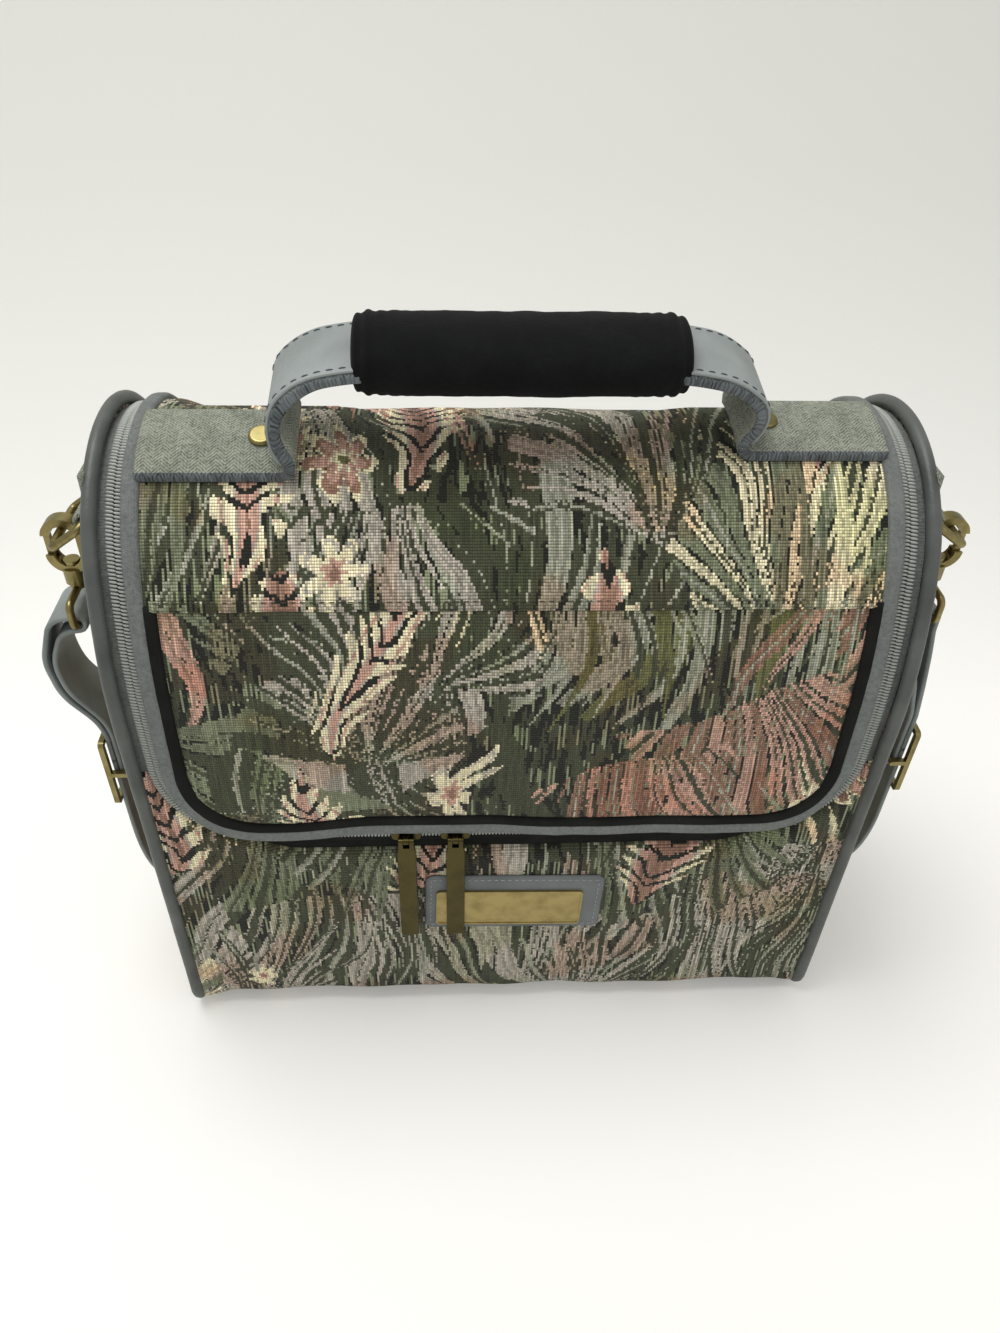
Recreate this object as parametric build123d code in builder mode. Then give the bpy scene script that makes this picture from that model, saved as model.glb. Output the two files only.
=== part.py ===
from build123d import *
import os
from math import atan2, cos, degrees, hypot, radians, sin, tan

os.makedirs("parts", exist_ok=True)

# A zip-round toiletry bag: arched ends, a domed lid with a front pocket, a carrying
# handle and a shoulder strap. X is the width, -Y the front, +Z up, millimetres.
# The origin is on the floor under the middle of the base.

# Case
case_width = 316.0          # between the middles of the two piping cords
case_depth = 140.0          # piping, front to back
case_height = 303.0         # floor to the middle of the piping at the crown
shoulder_height = 195.0     # where the upright walls start to curve in
side_radius = 190.0         # radius of the curve above each wall
piping_radius = 3.3
base_corner = 14.0          # radius where a wall turns under the base
hinge_height = 195.0        # fold of the lid on the back wall

# Layers of the walls, from the outside in
face_inset = 0.4            # outer cloth face, in from the middle of the piping
panel_thickness = 2.6
tape_thickness = 0.8
coil_thickness = 1.8
lining_thickness = 0.8
board_thickness = 2.0
end_thickness = 3.0
end_outset = 2.0            # end panel's face, out from the middle of the piping
body_gap = 0.3              # between cloth that moves and cloth that doesn't
seam_under = 6.0            # base seams, in from where the walls' corners end
panel_top_drop = 2.0        # front panel's top corners below the middles of the zip's corners
board_margin = 5.0
cut_margin = 1.0            # how far a cutting block goes past what it cuts

# Zip
zip_side = 150.15           # from the middle of the bag to the middle of the zip
zip_height = 133.5          # middle of the zip's lower run
zip_corner = 41.5
coil_gap = 1.1              # between the two rows of teeth
coil_width = 2.4
tape_width = 7.0
lining_lap = 1.0            # case lining over the tape
lid_tape_lap = 4.0          # lid's tape under the cloth beside it

# Lid
edging_offset = 5.55        # edging cord, in from the middle of the zip
edging_radius = 2.4
edging_end_rise = 4.0       # end of the edging above the hinge
panel_lap = 1.4             # between the middle of the edging and the cloth sewn to it
pocket_offset = 12.15       # edge of the pocket panel, in from the middle of the zip
pocket_outset = 1.2         # pocket panel's face, out from the middle of the piping
pocket_thickness = 1.6
binding_outset = 0.6
backing_thickness = 1.4
fold_height = 252.0         # hem of the dome panel over the pocket's mouth
hem_height = 7.0
hem_thickness = 1.2
hem_fold = 2.0
pocket_tuck = 3.0           # top of the pocket panel below the top of the hem

# Handle
handle_lean = 9.4           # degrees, towards the front
foot_leans = {"left": 19.0, "right": 10.4}
strap_width = 35.0
strap_thickness = 4.4
strap_foot_end = 142.0      # outer end of each foot
strap_foot_bend = 84.0      # inner end, under the turn
foot_flat_end = 91.0        # where the foot bent over the dome takes over from the flat turn
# middle of the webbing on the left, from the foot up to the grip, as (X, rise over the dome)
handle_bend = [(-100.0, 2.2), (-80.0, 2.2), (-93.0, 17.0), (-77.0, 29.2), (-60.0, 32.3)]
handle_middle_rise = 33.3
handle_bend_radius = 60.0
facing_width = 33.0
facing_thickness = 1.2
grip_length = 122.0
grip_width = 38.0
grip_height = 26.0
grip_rise = 32.7            # middle of the grip above the dome's cloth
grip_round = 2.5
rivet_reach = 96.5          # from the middle of the bag
rivet_radius = 5.0
rivet_height = 1.8
rivet_round = 1.26

# Name patch
patch_centre_x = 3.0
patch_centre_z = 84.0
patch_width = 84.0
patch_height = 38.0
patch_thickness = 1.2
plate_width = 70.0
plate_height = 25.0
patch_corner = 2.0
patch_tilt = -1.5           # degrees
plate_thickness = 1.2
plate_drop = 3.2            # middle of the plate below the middle of the patch
plate_shift = 2.2           # and to its left
plate_rim = 0.9
plate_rim_height = 0.3

# Zip sliders and pulls
slider_places = {"left": -47.0, "right": -25.0}
slider_length = 13.0
slider_width = 5.8
slider_corner = 1.9
slider_plate = 1.3
slider_lift = 0.3           # plate above the teeth
slider_wedge = 5.0          # length of the post between the two plates
slider_wedge_width = 0.6
lug_width = 2.4
lug_half_height = 1.7
pull_width = 8.5
pull_length = 64.0
pull_thickness = 3.0
pull_axis_out = 3.7         # hinge of the pull, out from the middle of the piping
pull_pin_radius = 0.65
pull_pin_clearance = 0.1
pull_ear_gap = 0.3
pull_ear_width = 1.9
pull_web_drop = 3.4         # from the hinge down to the solid part of the pull
pull_ear_lap = 1.0          # ears into the solid part
pull_shoulder = 5.0
pull_round = 0.8

# Strap fittings on the end panels
fitting_y = -26.0
fitting_height = 276.0      # hinge of the ring
ring_wire = 1.7
ring_inner = 27.0           # along Y
ring_reach = 16.0           # hinge bar to outer bar
ring_droop = 35.0           # degrees below level
ring_corner = 3.0
tab_width = 23.0
tab_thickness = 2.0
tab_drop = 14.0             # tab below the ring's hinge
tab_clearance = 0.4         # around the ring's hinge bar
hook_thickness = 6.0
hook_inner = 5.0            # radius of the throat
hook_band = 3.3
hook_throat = 8.0           # straight part of the throat
hook_seat_gap = 0.35        # between the ring and the hook that hangs on it
barrel_radius = 4.4
barrel_height = 7.0
gate_width = 2.6            # along Y
gate_thickness = 2.4
gate_gap = 0.4
gate_pivot_drop = 1.5       # pivot below the middle of the throat's lower curve
gate_pin_radius = 0.7
gate_pin_clearance = 0.06
gate_rise = 0.6             # tip above the middle of the throat's upper curve
head_radius = 3.2
head_thickness = 1.4
shank_radius = 2.0
shank_clearance = 0.3
collar_radius = 3.4
collar_height = 2.0
eye_wire = 1.6
eye_inner = 27.2            # along Y
eye_drop = 11.0             # upper bar to lower bar
eye_corner = 3.0

# Shoulder strap
webbing_width = 25.0
webbing_thickness = 2.2
strap_floor_gap = 0.5
strap_layer_gap = 0.3
strap_turn_radius = 95.0    # turn from hanging down to running back along the floor
strap_turn_y = 69.0         # where that turn ends
strap_bottom = strap_floor_gap + webbing_width / 2
slide_places = {"left": 182.0, "right": 190.0}
slide_height = 145.0        # middle of the slide
slide_width = 31.5          # along Y
slide_length = 39.0
slide_bar = 2.4
slide_rail = 2.6
slide_gap = 0.2             # around the webbing
strap_straight = 7.5        # straight webbing above a slide
strap_bend_radius = 26.0    # largest bend between a slide and a ring
strap_back_radius = 400.0   # largest bend behind the bag
strap_corner_lead = 4.0     # corners behind the bag, ahead of the run between them
# outer layer from the slide up to the ring, then the inner layer back down, as (X, Z)
outer_layers = {
    "left": [(193.0, 190.0), (195.8, 209.0), (188.5, 230.6)],
    "right": [(185.4, 190.0), (182.8, 208.0), (180.3, 222.0)],
}
inner_layers = {
    "left": [(185.3, 224.0), (192.2, 208.2), (189.8, 191.9)],
    "right": [(174.1, 221.0), (176.6, 207.0), (181.5, 190.0)],
}
# the strap behind the bag, from the left to the right, as (X, Y)
back_run = [(-150.0, 92.0), (-95.0, 88.0), (-40.0, 91.0), (20.0, 87.0), (80.0, 91.0), (140.0, 89.0)]

# Worked out from the sizes above
half_width = case_width / 2
half_depth = case_depth / 2
arch_rise = case_height - shoulder_height
crown_offset = ((side_radius - half_depth) ** 2 - (side_radius - arch_rise) ** 2) / (2 * (side_radius - arch_rise))
arc_centre = side_radius - half_depth
crown_radius = arch_rise - crown_offset
crown_centre = shoulder_height + crown_offset
side_turn = degrees(atan2(crown_offset, side_radius - half_depth))
panel_inner = face_inset + panel_thickness
tape_inner = panel_inner + tape_thickness
lining_inner = tape_inner + lining_thickness
end_inner_face = half_width + end_outset - end_thickness
end_outer_face = half_width + end_outset
board_top = panel_thickness + board_thickness
zip_edge = coil_gap / 2
coil_edge = zip_edge + coil_width
edging_side = zip_side - edging_offset
edging_inset = panel_inner - edging_radius
reach = 400.0               # longer than any piece, for cutting


def arch_face(inset, bottom, corner):
    # outline of the bag seen from its end, moved in from the middle of the piping
    half = half_depth - inset
    flat = half - corner
    with BuildSketch() as outline:
        with BuildLine():
            Line((-flat, bottom), (flat, bottom))
            CenterArc((flat, bottom + corner), corner, -90, 90)
            Line((half, bottom + corner), (half, shoulder_height))
            CenterArc((-arc_centre, shoulder_height), side_radius - inset, 0, side_turn)
            CenterArc((0, crown_centre), crown_radius - inset, side_turn, 180 - 2 * side_turn)
            CenterArc((arc_centre, shoulder_height), side_radius - inset, 180 - side_turn, side_turn)
            Line((-half, shoulder_height), (-half, bottom + corner))
            CenterArc((-flat, bottom + corner), corner, 180, 90)
        make_face()
    return outline.sketch


def shell(outer, inner, outer_bottom=0.0, inner_bottom=panel_thickness):
    # a wall that runs round the bag between two insets, from end panel to end panel
    with BuildPart() as wall:
        with BuildSketch(Plane.YZ):
            add(arch_face(outer, outer_bottom, max(base_corner - max(outer, 0), 1)))
            add(arch_face(inner, inner_bottom, max(base_corner - inner, 1)), mode=Mode.SUBTRACT)
        extrude(amount=end_inner_face, both=True)
    return wall.part


def lid_face(offset, top=reach):
    # the lid's outline seen from the front, moved in from the middle of the zip
    side = zip_side - offset
    low = zip_height + offset
    corner = zip_corner - offset
    with BuildSketch() as outline:
        with BuildLine():
            Line((-(side - corner), low), (side - corner, low))
            CenterArc((side - corner, low + corner), corner, -90, 90)
            Polyline((side, low + corner), (side, top), (-side, top), (-side, low + corner))
            CenterArc((-(side - corner), low + corner), corner, 180, 90)
        make_face()
    return outline.sketch


def lid_region(offset, back_low=hinge_height, front_top=reach):
    # the space of the lid before the bag's middle and, above back_low, behind it
    with BuildPart() as region:
        with BuildSketch(Plane.XZ):
            add(lid_face(offset, front_top))
        extrude(amount=reach)
        if front_top == reach:
            with BuildSketch(Plane.XZ):
                with Locations((0, (back_low + reach) / 2)):
                    Rectangle(2 * (zip_side - offset), reach - back_low)
            extrude(amount=-reach)
    return region.part


def front_block(low, high, depth_from=0.0):
    # everything in front of depth_from between two heights
    with BuildPart() as block:
        with BuildSketch(Plane.XZ.offset(depth_from)):
            with Locations((0, (low + high) / 2)):
                Rectangle(2 * reach, high - low)
        extrude(amount=reach)
    return block.part


def path_radii(points, share=0.45, largest=60.0):
    # a fillet radius for each corner of a path, as large as its two runs allow
    radii = []
    for before, corner, after in zip(points, points[1:], points[2:]):
        run_in = [b - a for a, b in zip(before, corner)]
        run_out = [b - a for a, b in zip(corner, after)]
        length_in = hypot(*run_in)
        length_out = hypot(*run_out)
        turn = Vector(*run_in).get_angle(Vector(*run_out))
        radius = share * min(length_in, length_out) / tan(radians(turn / 2))
        radii.append(min(radius, largest))
    return radii


def write(piece, name):
    piece.part.label = name
    export_step(piece.part, f"parts/{name}.step")


# Piping round each end panel
piping = {}
for side, sign in (("left", -1), ("right", 1)):
    with BuildPart() as cord:
        with BuildLine(Plane.YZ.offset(sign * half_width)) as run:
            flat = half_depth - base_corner
            Line((-flat, piping_radius), (flat, piping_radius))
            CenterArc((flat, piping_radius + base_corner), base_corner, -90, 90)
            Line((half_depth, piping_radius + base_corner), (half_depth, shoulder_height))
            CenterArc((-arc_centre, shoulder_height), side_radius, 0, side_turn)
            CenterArc((0, crown_centre), crown_radius, side_turn, 180 - 2 * side_turn)
            CenterArc((arc_centre, shoulder_height), side_radius, 180 - side_turn, side_turn)
            Line((-half_depth, shoulder_height), (-half_depth, piping_radius + base_corner))
            CenterArc((-flat, piping_radius + base_corner), base_corner, 180, 90)
        with BuildSketch(Plane((sign * half_width, 0, piping_radius), z_dir=(0, 1, 0))):
            Circle(piping_radius)
        sweep(path=run.wires()[0])
    piping[side] = cord
    write(cord, f"piping_{side}")

# End panels, let into the piping
for side, sign in (("left", -1), ("right", 1)):
    with BuildPart() as end_panel:
        with BuildSketch(Plane.YZ.offset(sign * end_inner_face)):
            add(arch_face(face_inset, piping_radius, base_corner))
        extrude(amount=sign * end_thickness)
        add(piping[side].part, mode=Mode.SUBTRACT)
    write(end_panel, f"end_panel_{side}")

both_piping = [piping["left"].part, piping["right"].part]

# Walls of the case: front, back and base, each cut to its seams
case_wall = shell(face_inset, panel_inner)
front_seam = half_depth - base_corner - seam_under
panel_top = zip_height + zip_corner - panel_top_drop

zip_cutout = lid_region(-(coil_edge + body_gap), hinge_height - body_gap)
front_space = front_block(0, panel_top)
with BuildPart() as front_panel:
    add(case_wall)
    add(front_space, mode=Mode.INTERSECT)
    add(zip_cutout, mode=Mode.SUBTRACT)
    with BuildSketch(Plane.XY):
        with Locations((0, -front_seam / 2)):
            Rectangle(2 * reach, front_seam)
    extrude(amount=base_corner, mode=Mode.SUBTRACT)
    add(both_piping, mode=Mode.SUBTRACT)
write(front_panel, "front_panel")

with BuildPart() as back_panel:
    add(case_wall)
    with BuildSketch(Plane.XY):
        with Locations((0, front_seam + reach / 2)):
            Rectangle(2 * reach, reach)
    extrude(amount=hinge_height - body_gap, mode=Mode.INTERSECT)
    add(both_piping, mode=Mode.SUBTRACT)
write(back_panel, "back_panel")

with BuildPart() as bottom_panel:
    add(case_wall)
    with BuildSketch(Plane.XY):
        Rectangle(2 * reach, 2 * front_seam)
    extrude(amount=base_corner, mode=Mode.INTERSECT)
    add(both_piping, mode=Mode.SUBTRACT)
write(bottom_panel, "bottom_panel")

with BuildPart() as base_board:
    with BuildSketch(Plane.XY.offset(panel_thickness)):
        Rectangle(2 * (end_inner_face - board_margin), 2 * front_seam)
    extrude(amount=board_thickness)
write(base_board, "base_board")

# Lining of the case, open where the lid opens
lining_wall = shell(tape_inner, lining_inner, board_top, board_top + lining_thickness)
lining_opening = lid_region(-(tape_width - lining_lap), hinge_height - body_gap)
with BuildPart() as case_lining:
    add(lining_wall)
    with BuildSketch(Plane.YZ.offset(end_inner_face)):
        add(arch_face(tape_inner, board_top, base_corner - tape_inner))
    extrude(amount=-lining_thickness)
    with BuildSketch(Plane.YZ.offset(-end_inner_face)):
        add(arch_face(tape_inner, board_top, base_corner - tape_inner))
    extrude(amount=lining_thickness)
    add(lining_opening, mode=Mode.SUBTRACT)
    add(both_piping, mode=Mode.SUBTRACT)
write(case_lining, "case_lining")

# Zip: a tape and a row of teeth on the case, and the same on the lid
tape_wall = shell(panel_inner, tape_inner)
coil_wall = shell(panel_inner - coil_thickness, panel_inner)
case_tape_region = lid_region(-tape_width, hinge_height)
case_zip_opening = lid_region(-zip_edge, hinge_height - reach / 2)
with BuildPart() as zip_tape_case:
    add(tape_wall)
    add(case_tape_region, mode=Mode.INTERSECT)
    add(case_zip_opening, mode=Mode.SUBTRACT)
    add(both_piping, mode=Mode.SUBTRACT)
write(zip_tape_case, "zip_tape_case")

case_coil_region = lid_region(-coil_edge, hinge_height)
with BuildPart() as zip_coil_case:
    add(coil_wall)
    add(case_coil_region, mode=Mode.INTERSECT)
    add(case_zip_opening, mode=Mode.SUBTRACT)
write(zip_coil_case, "zip_coil_case")

lid_low = hinge_height + body_gap
lid_tape_region = lid_region(zip_edge, lid_low)
lid_tape_inner = lid_region(tape_width + lid_tape_lap, hinge_height - reach / 2)
with BuildPart() as zip_tape_lid:
    add(tape_wall)
    add(lid_tape_region, mode=Mode.INTERSECT)
    add(lid_tape_inner, mode=Mode.SUBTRACT)
write(zip_tape_lid, "zip_tape_lid")

lid_coil_inner = lid_region(coil_edge, hinge_height - reach / 2)
with BuildPart() as zip_coil_lid:
    add(coil_wall)
    add(lid_tape_region, mode=Mode.INTERSECT)
    add(lid_coil_inner, mode=Mode.SUBTRACT)
write(zip_coil_lid, "zip_coil_lid")

# Edging cord round the lid: two side runs over the dome and one run along the front
edging_depth = half_depth - edging_inset
edging_low = zip_height + edging_offset
edging_corner = zip_corner - edging_offset
edging_start = hinge_height + edging_end_rise
with BuildPart() as lid_edging:
    for sign in (-1, 1):
        with BuildLine(Plane.YZ.offset(sign * edging_side)) as side_run:
            tilt = degrees(atan2(edging_start - shoulder_height, side_radius))
            CenterArc((-arc_centre, shoulder_height), side_radius - edging_inset, tilt, side_turn - tilt)
            CenterArc((0, crown_centre), crown_radius - edging_inset, side_turn, 180 - 2 * side_turn)
            CenterArc((arc_centre, shoulder_height), side_radius - edging_inset, 180 - side_turn, side_turn)
            Line((-edging_depth, shoulder_height), (-edging_depth, edging_low + edging_corner))
        start_plane = Plane((sign * edging_side, -edging_depth, edging_low + edging_corner), z_dir=(0, 0, 1))
        with BuildSketch(start_plane):
            Circle(edging_radius)
        sweep(path=side_run.wires()[0])
    with BuildLine(Plane.XZ.offset(edging_depth)) as front_run:
        corner_x = edging_side - edging_corner
        CenterArc((-corner_x, edging_low + edging_corner), edging_corner, 180, 90)
        Line((-corner_x, edging_low), (corner_x, edging_low))
        CenterArc((corner_x, edging_low + edging_corner), edging_corner, 270, 90)
    with BuildSketch(Plane((-edging_side, -edging_depth, edging_low + edging_corner), z_dir=(0, 0, -1))):
        Circle(edging_radius)
    sweep(path=front_run.wires()[0])
write(lid_edging, "lid_edging")

# Dome panel, its hem over the pocket's mouth
dome_wall = shell(face_inset, panel_inner)
hem_wall = shell(-(pocket_outset + body_gap + hem_thickness), face_inset)
hem_slot_wall = shell(-(pocket_outset + body_gap), face_inset)
panel_region = lid_region(edging_offset + panel_lap, lid_low)
below_fold = front_block(0, fold_height)
hem_space = front_block(fold_height, fold_height + hem_height)
hem_slot_space = front_block(0, fold_height + hem_height - hem_fold)
with BuildPart() as lid_hem:
    add(hem_wall)
    add(hem_space, mode=Mode.INTERSECT)
    add(panel_region, mode=Mode.INTERSECT)
with BuildPart() as lid_hem_slot:
    add(hem_slot_wall)
    add(hem_slot_space, mode=Mode.INTERSECT)
with BuildPart() as lid_panel:
    add(dome_wall)
    add(panel_region, mode=Mode.INTERSECT)
    add(below_fold, mode=Mode.SUBTRACT)
    add(lid_hem.part)
    add(lid_hem_slot.part, mode=Mode.SUBTRACT)
    add(lid_edging.part, mode=Mode.SUBTRACT)
write(lid_panel, "lid_panel")

# Front of the lid: an inner cloth, the pocket panel over it and a binding between
backing_wall = shell(panel_inner - backing_thickness, panel_inner)
front_lid_region = lid_region(edging_offset + panel_lap, front_top=fold_height)
with BuildPart() as lid_backing:
    add(backing_wall)
    add(front_lid_region, mode=Mode.INTERSECT)
    add(lid_edging.part, mode=Mode.SUBTRACT)
write(lid_backing, "lid_backing")

pocket_wall = shell(-pocket_outset, pocket_thickness - pocket_outset)
pocket_region = lid_region(pocket_offset, front_top=fold_height + hem_height - pocket_tuck)
with BuildPart() as pocket_panel:
    add(pocket_wall)
    add(pocket_region, mode=Mode.INTERSECT)
write(pocket_panel, "pocket_panel")

binding_wall = shell(-binding_outset, panel_inner - backing_thickness)
binding_region = lid_region(edging_offset + panel_lap, front_top=fold_height)
binding_inner = lid_region(pocket_offset, front_top=fold_height + cut_margin)
with BuildPart() as pocket_binding:
    add(binding_wall)
    add(binding_region, mode=Mode.INTERSECT)
    add(binding_inner, mode=Mode.SUBTRACT)
    add(lid_edging.part, mode=Mode.SUBTRACT)
write(pocket_binding, "pocket_binding")

lid_lining_wall = shell(tape_inner, lining_inner)
lid_lining_region = lid_region(tape_width, lid_low)
with BuildPart() as lid_lining:
    add(lid_lining_wall)
    add(lid_lining_region, mode=Mode.INTERSECT)
write(lid_lining, "lid_lining")

# Handle, drawn upright over the crown and leant forward about the crown's centre


def leant_plane(lean):
    # upright plane along the crown, leant towards the front about the crown's centre
    turn = radians(lean)
    return Plane(origin=(0, 0, crown_centre), x_dir=(1, 0, 0), z_dir=(0, -cos(turn), -sin(turn)))


handle_plane = leant_plane(handle_lean)
dome_face = crown_radius - face_inset
foot_centre = dome_face + strap_thickness / 2
grip_centre = dome_face + grip_rise


def handle_stroke(points, radii, width):
    # the band that follows the points, as a flat outline
    with BuildSketch() as band:
        with BuildLine():
            FilletPolyline(*points, radius=radii)
        trace(line_width=width)
    return band.sketch


foot_bend = [(x, dome_face + rise) for x, rise in handle_bend]
webbing_points = foot_bend + [(0, dome_face + handle_middle_rise)] + [(-x, height) for x, height in reversed(foot_bend)]
webbing_radii = path_radii(webbing_points, largest=handle_bend_radius)
webbing_band = handle_stroke(webbing_points, webbing_radii, strap_thickness)
foot_turn = degrees(strap_width / 2 / dome_face)
crown_axis = Axis((0, 0, crown_centre), (1, 0, 0))
with BuildPart() as handle_strap:
    with BuildSketch(handle_plane):
        add(webbing_band)
    extrude(amount=strap_width / 2, both=True)
    with BuildSketch(handle_plane):
        for sign in (-1, 1):
            with Locations((sign * (foot_flat_end + strap_foot_end) / 2, foot_centre)):
                Rectangle(strap_foot_end - foot_flat_end, 2 * strap_thickness)
    extrude(amount=strap_width, both=True, mode=Mode.SUBTRACT)
    for side, sign in (("left", -1), ("right", 1)):
        foot_middle = sign * (strap_foot_end + strap_foot_bend) / 2
        for turn in (foot_turn, -foot_turn):
            with BuildSketch(leant_plane(foot_leans[side])):
                with Locations((foot_middle, foot_centre)):
                    Rectangle(strap_foot_end - strap_foot_bend, strap_thickness)
            revolve(axis=crown_axis, revolution_arc=turn)
    add(dome_wall, mode=Mode.SUBTRACT)
    add(lid_edging.part, mode=Mode.SUBTRACT)
write(handle_strap, "handle_strap")

# Smooth facing on the outside of the webbing, from foot to foot under the grip
facing_start = tuple((near + far) / 2 for near, far in zip(webbing_points[1], webbing_points[2]))
facing_points = [facing_start] + webbing_points[2:-2] + [(-facing_start[0], facing_start[1])]
facing_radii = webbing_radii[1:-1]
wide_band = handle_stroke(facing_points, facing_radii, strap_thickness + 2 * facing_thickness)
with BuildSketch() as facing_sides:
    add(wide_band)
    add(webbing_band, mode=Mode.SUBTRACT)
with BuildPart() as handle_facing:
    with BuildSketch(handle_plane):
        add(facing_sides.faces().sort_by(Axis.Y)[-1])
    extrude(amount=facing_width / 2, both=True)
write(handle_facing, "handle_facing")

# Padded grip wrapped round the middle of the handle
with BuildPart() as handle_grip:
    grip_plane = Plane(origin=handle_plane.from_local_coords((-grip_length / 2, grip_centre, 0)),
                       x_dir=handle_plane.z_dir, z_dir=(1, 0, 0))
    with BuildSketch(grip_plane):
        Ellipse(grip_width / 2, grip_height / 2)
    extrude(amount=grip_length)
    fillet(handle_grip.edges().filter_by(GeomType.ELLIPSE), radius=grip_round)
    add(handle_strap.part, mode=Mode.SUBTRACT)
    add(handle_facing.part, mode=Mode.SUBTRACT)
write(handle_grip, "handle_grip")

# Rivets through the feet of the handle
for side, sign in (("left", -1), ("right", 1)):
    foot_plane = leant_plane(foot_leans[side])
    rivet_seat = foot_plane.from_local_coords((sign * rivet_reach, foot_centre + strap_thickness / 2, 0))
    with BuildPart() as rivet:
        with BuildSketch(Plane(origin=rivet_seat, x_dir=(1, 0, 0), z_dir=foot_plane.y_dir)):
            Circle(rivet_radius)
        extrude(amount=rivet_height)
        fillet(rivet.edges().filter_by(GeomType.CIRCLE).sort_by(Axis.Z)[-1], radius=rivet_round)
    write(rivet, f"handle_rivet_{side}")

# Name patch and its bare plate, sewn a little askew on the front
patch_face = half_depth - face_inset
patch_plane = Plane(
    origin=(patch_centre_x, -patch_face, patch_centre_z),
    x_dir=(cos(radians(patch_tilt)), 0, sin(radians(patch_tilt))),
    z_dir=(0, -1, 0),
)
with BuildPart() as name_patch:
    with BuildSketch(patch_plane):
        RectangleRounded(patch_width, patch_height, patch_corner)
    extrude(amount=patch_thickness)
write(name_patch, "name_patch")

with BuildPart() as name_plate:
    with BuildSketch(patch_plane.offset(patch_thickness)):
        with Locations((-plate_shift, -plate_drop)):
            RectangleRounded(plate_width, plate_height, patch_corner)
    extrude(amount=plate_thickness)
    with BuildSketch(patch_plane.offset(patch_thickness + plate_thickness)):
        with Locations((-plate_shift, -plate_drop)):
            RectangleRounded(plate_width - 2 * plate_rim, plate_height - 2 * plate_rim, patch_corner / 2)
    extrude(amount=-plate_rim_height, mode=Mode.SUBTRACT)
write(name_plate, "name_plate")

# Zip sliders, one for each way round, and the pulls that hang from them
slider_top = panel_inner - coil_thickness - slider_lift
slider_low = lining_inner - tape_thickness + slider_lift
pull_axis_y = -(half_depth + pull_axis_out)
ear_inner = lug_width / 2 + pull_ear_gap
ear_outer = ear_inner + pull_ear_width
for side, place in slider_places.items():
    with BuildPart() as slider:
        for outer_face, inner_face in ((slider_top - slider_plate, slider_top), (slider_low, slider_low + slider_plate)):
            with BuildSketch(Plane.XZ.offset(half_depth - inner_face)):
                with Locations((place, zip_height)):
                    RectangleRounded(slider_length, slider_width, slider_corner)
            extrude(amount=inner_face - outer_face)
        with BuildSketch(Plane.XZ.offset(half_depth - slider_low)):
            with Locations((place, zip_height)):
                Rectangle(slider_wedge, slider_wedge_width)
        extrude(amount=slider_low - slider_top)
        with BuildSketch(Plane.YZ.offset(place - lug_width / 2)):
            with Locations((pull_axis_y, zip_height)):
                Circle(lug_half_height)
            with Locations(((pull_axis_y - half_depth + slider_top - slider_plate) / 2, zip_height)):
                Rectangle(pull_axis_out + slider_top - slider_plate, 2 * lug_half_height)
            with Locations((pull_axis_y, zip_height)):
                Circle(pull_pin_radius + pull_pin_clearance, mode=Mode.SUBTRACT)
        extrude(amount=lug_width)
    write(slider, f"slider_{side}")

    with BuildPart() as pull:
        with BuildSketch(Plane.YZ.offset(place - ear_outer)):
            with Locations((pull_axis_y, zip_height)):
                Circle(pull_pin_radius)
        extrude(amount=2 * ear_outer)
        with BuildSketch(Plane.YZ.offset(place - ear_outer)):
            with Locations((pull_axis_y, zip_height)):
                Circle(pull_thickness / 2)
            with Locations((pull_axis_y, zip_height - (pull_web_drop + pull_ear_lap) / 2)):
                Rectangle(pull_thickness, pull_web_drop + pull_ear_lap)
        extrude(amount=pull_ear_width)
        with BuildSketch(Plane.YZ.offset(place + ear_inner)):
            with Locations((pull_axis_y, zip_height)):
                Circle(pull_thickness / 2)
            with Locations((pull_axis_y, zip_height - (pull_web_drop + pull_ear_lap) / 2)):
                Rectangle(pull_thickness, pull_web_drop + pull_ear_lap)
        extrude(amount=pull_ear_width)
        with BuildSketch(Plane.XZ.offset(-pull_axis_y - pull_thickness / 2)):
            with BuildLine():
                Polyline(
                    (place - ear_outer, zip_height - pull_web_drop),
                    (place - pull_width / 2, zip_height - pull_web_drop - pull_shoulder),
                    (place - pull_width / 2, zip_height - pull_web_drop - pull_length),
                    (place + pull_width / 2, zip_height - pull_web_drop - pull_length),
                    (place + pull_width / 2, zip_height - pull_web_drop - pull_shoulder),
                    (place + ear_outer, zip_height - pull_web_drop),
                    close=True,
                )
            make_face()
        extrude(amount=pull_thickness)
        long_edges = pull.edges().filter_by(Axis.Z).filter_by(lambda edge: edge.length > pull_length / 2)
        fillet(long_edges, radius=pull_round)
    write(pull, f"pull_{side}")

# Tab, ring, snap hook with its gate, swivel eye and slide at each end of the bag
ring_bar_x = end_outer_face + tab_thickness + tab_clearance + ring_wire
droop = radians(ring_droop)
ring_outer_x = ring_bar_x + ring_reach * cos(droop)
ring_outer_z = fitting_height - ring_reach * sin(droop)
hook_top = ring_outer_z + ring_wire + hook_seat_gap - hook_inner
hook_bottom = hook_top - hook_throat
hook_outer = hook_inner + hook_band
barrel_top = hook_bottom - hook_inner - hook_band / 2
barrel_bottom = barrel_top - barrel_height
head_low = hook_bottom - hook_inner + gate_gap
collar_top = barrel_bottom - gate_gap
eye_top = collar_top - collar_height
eye_low = eye_top - eye_drop
gate_x = hook_inner + hook_band / 2
gate_pivot_z = hook_bottom - gate_pivot_drop
gate_clear_width = gate_width + 2 * gate_gap
loop_outer = ring_wire + tab_clearance + tab_thickness
middle_layer = webbing_thickness + strap_layer_gap


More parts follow.
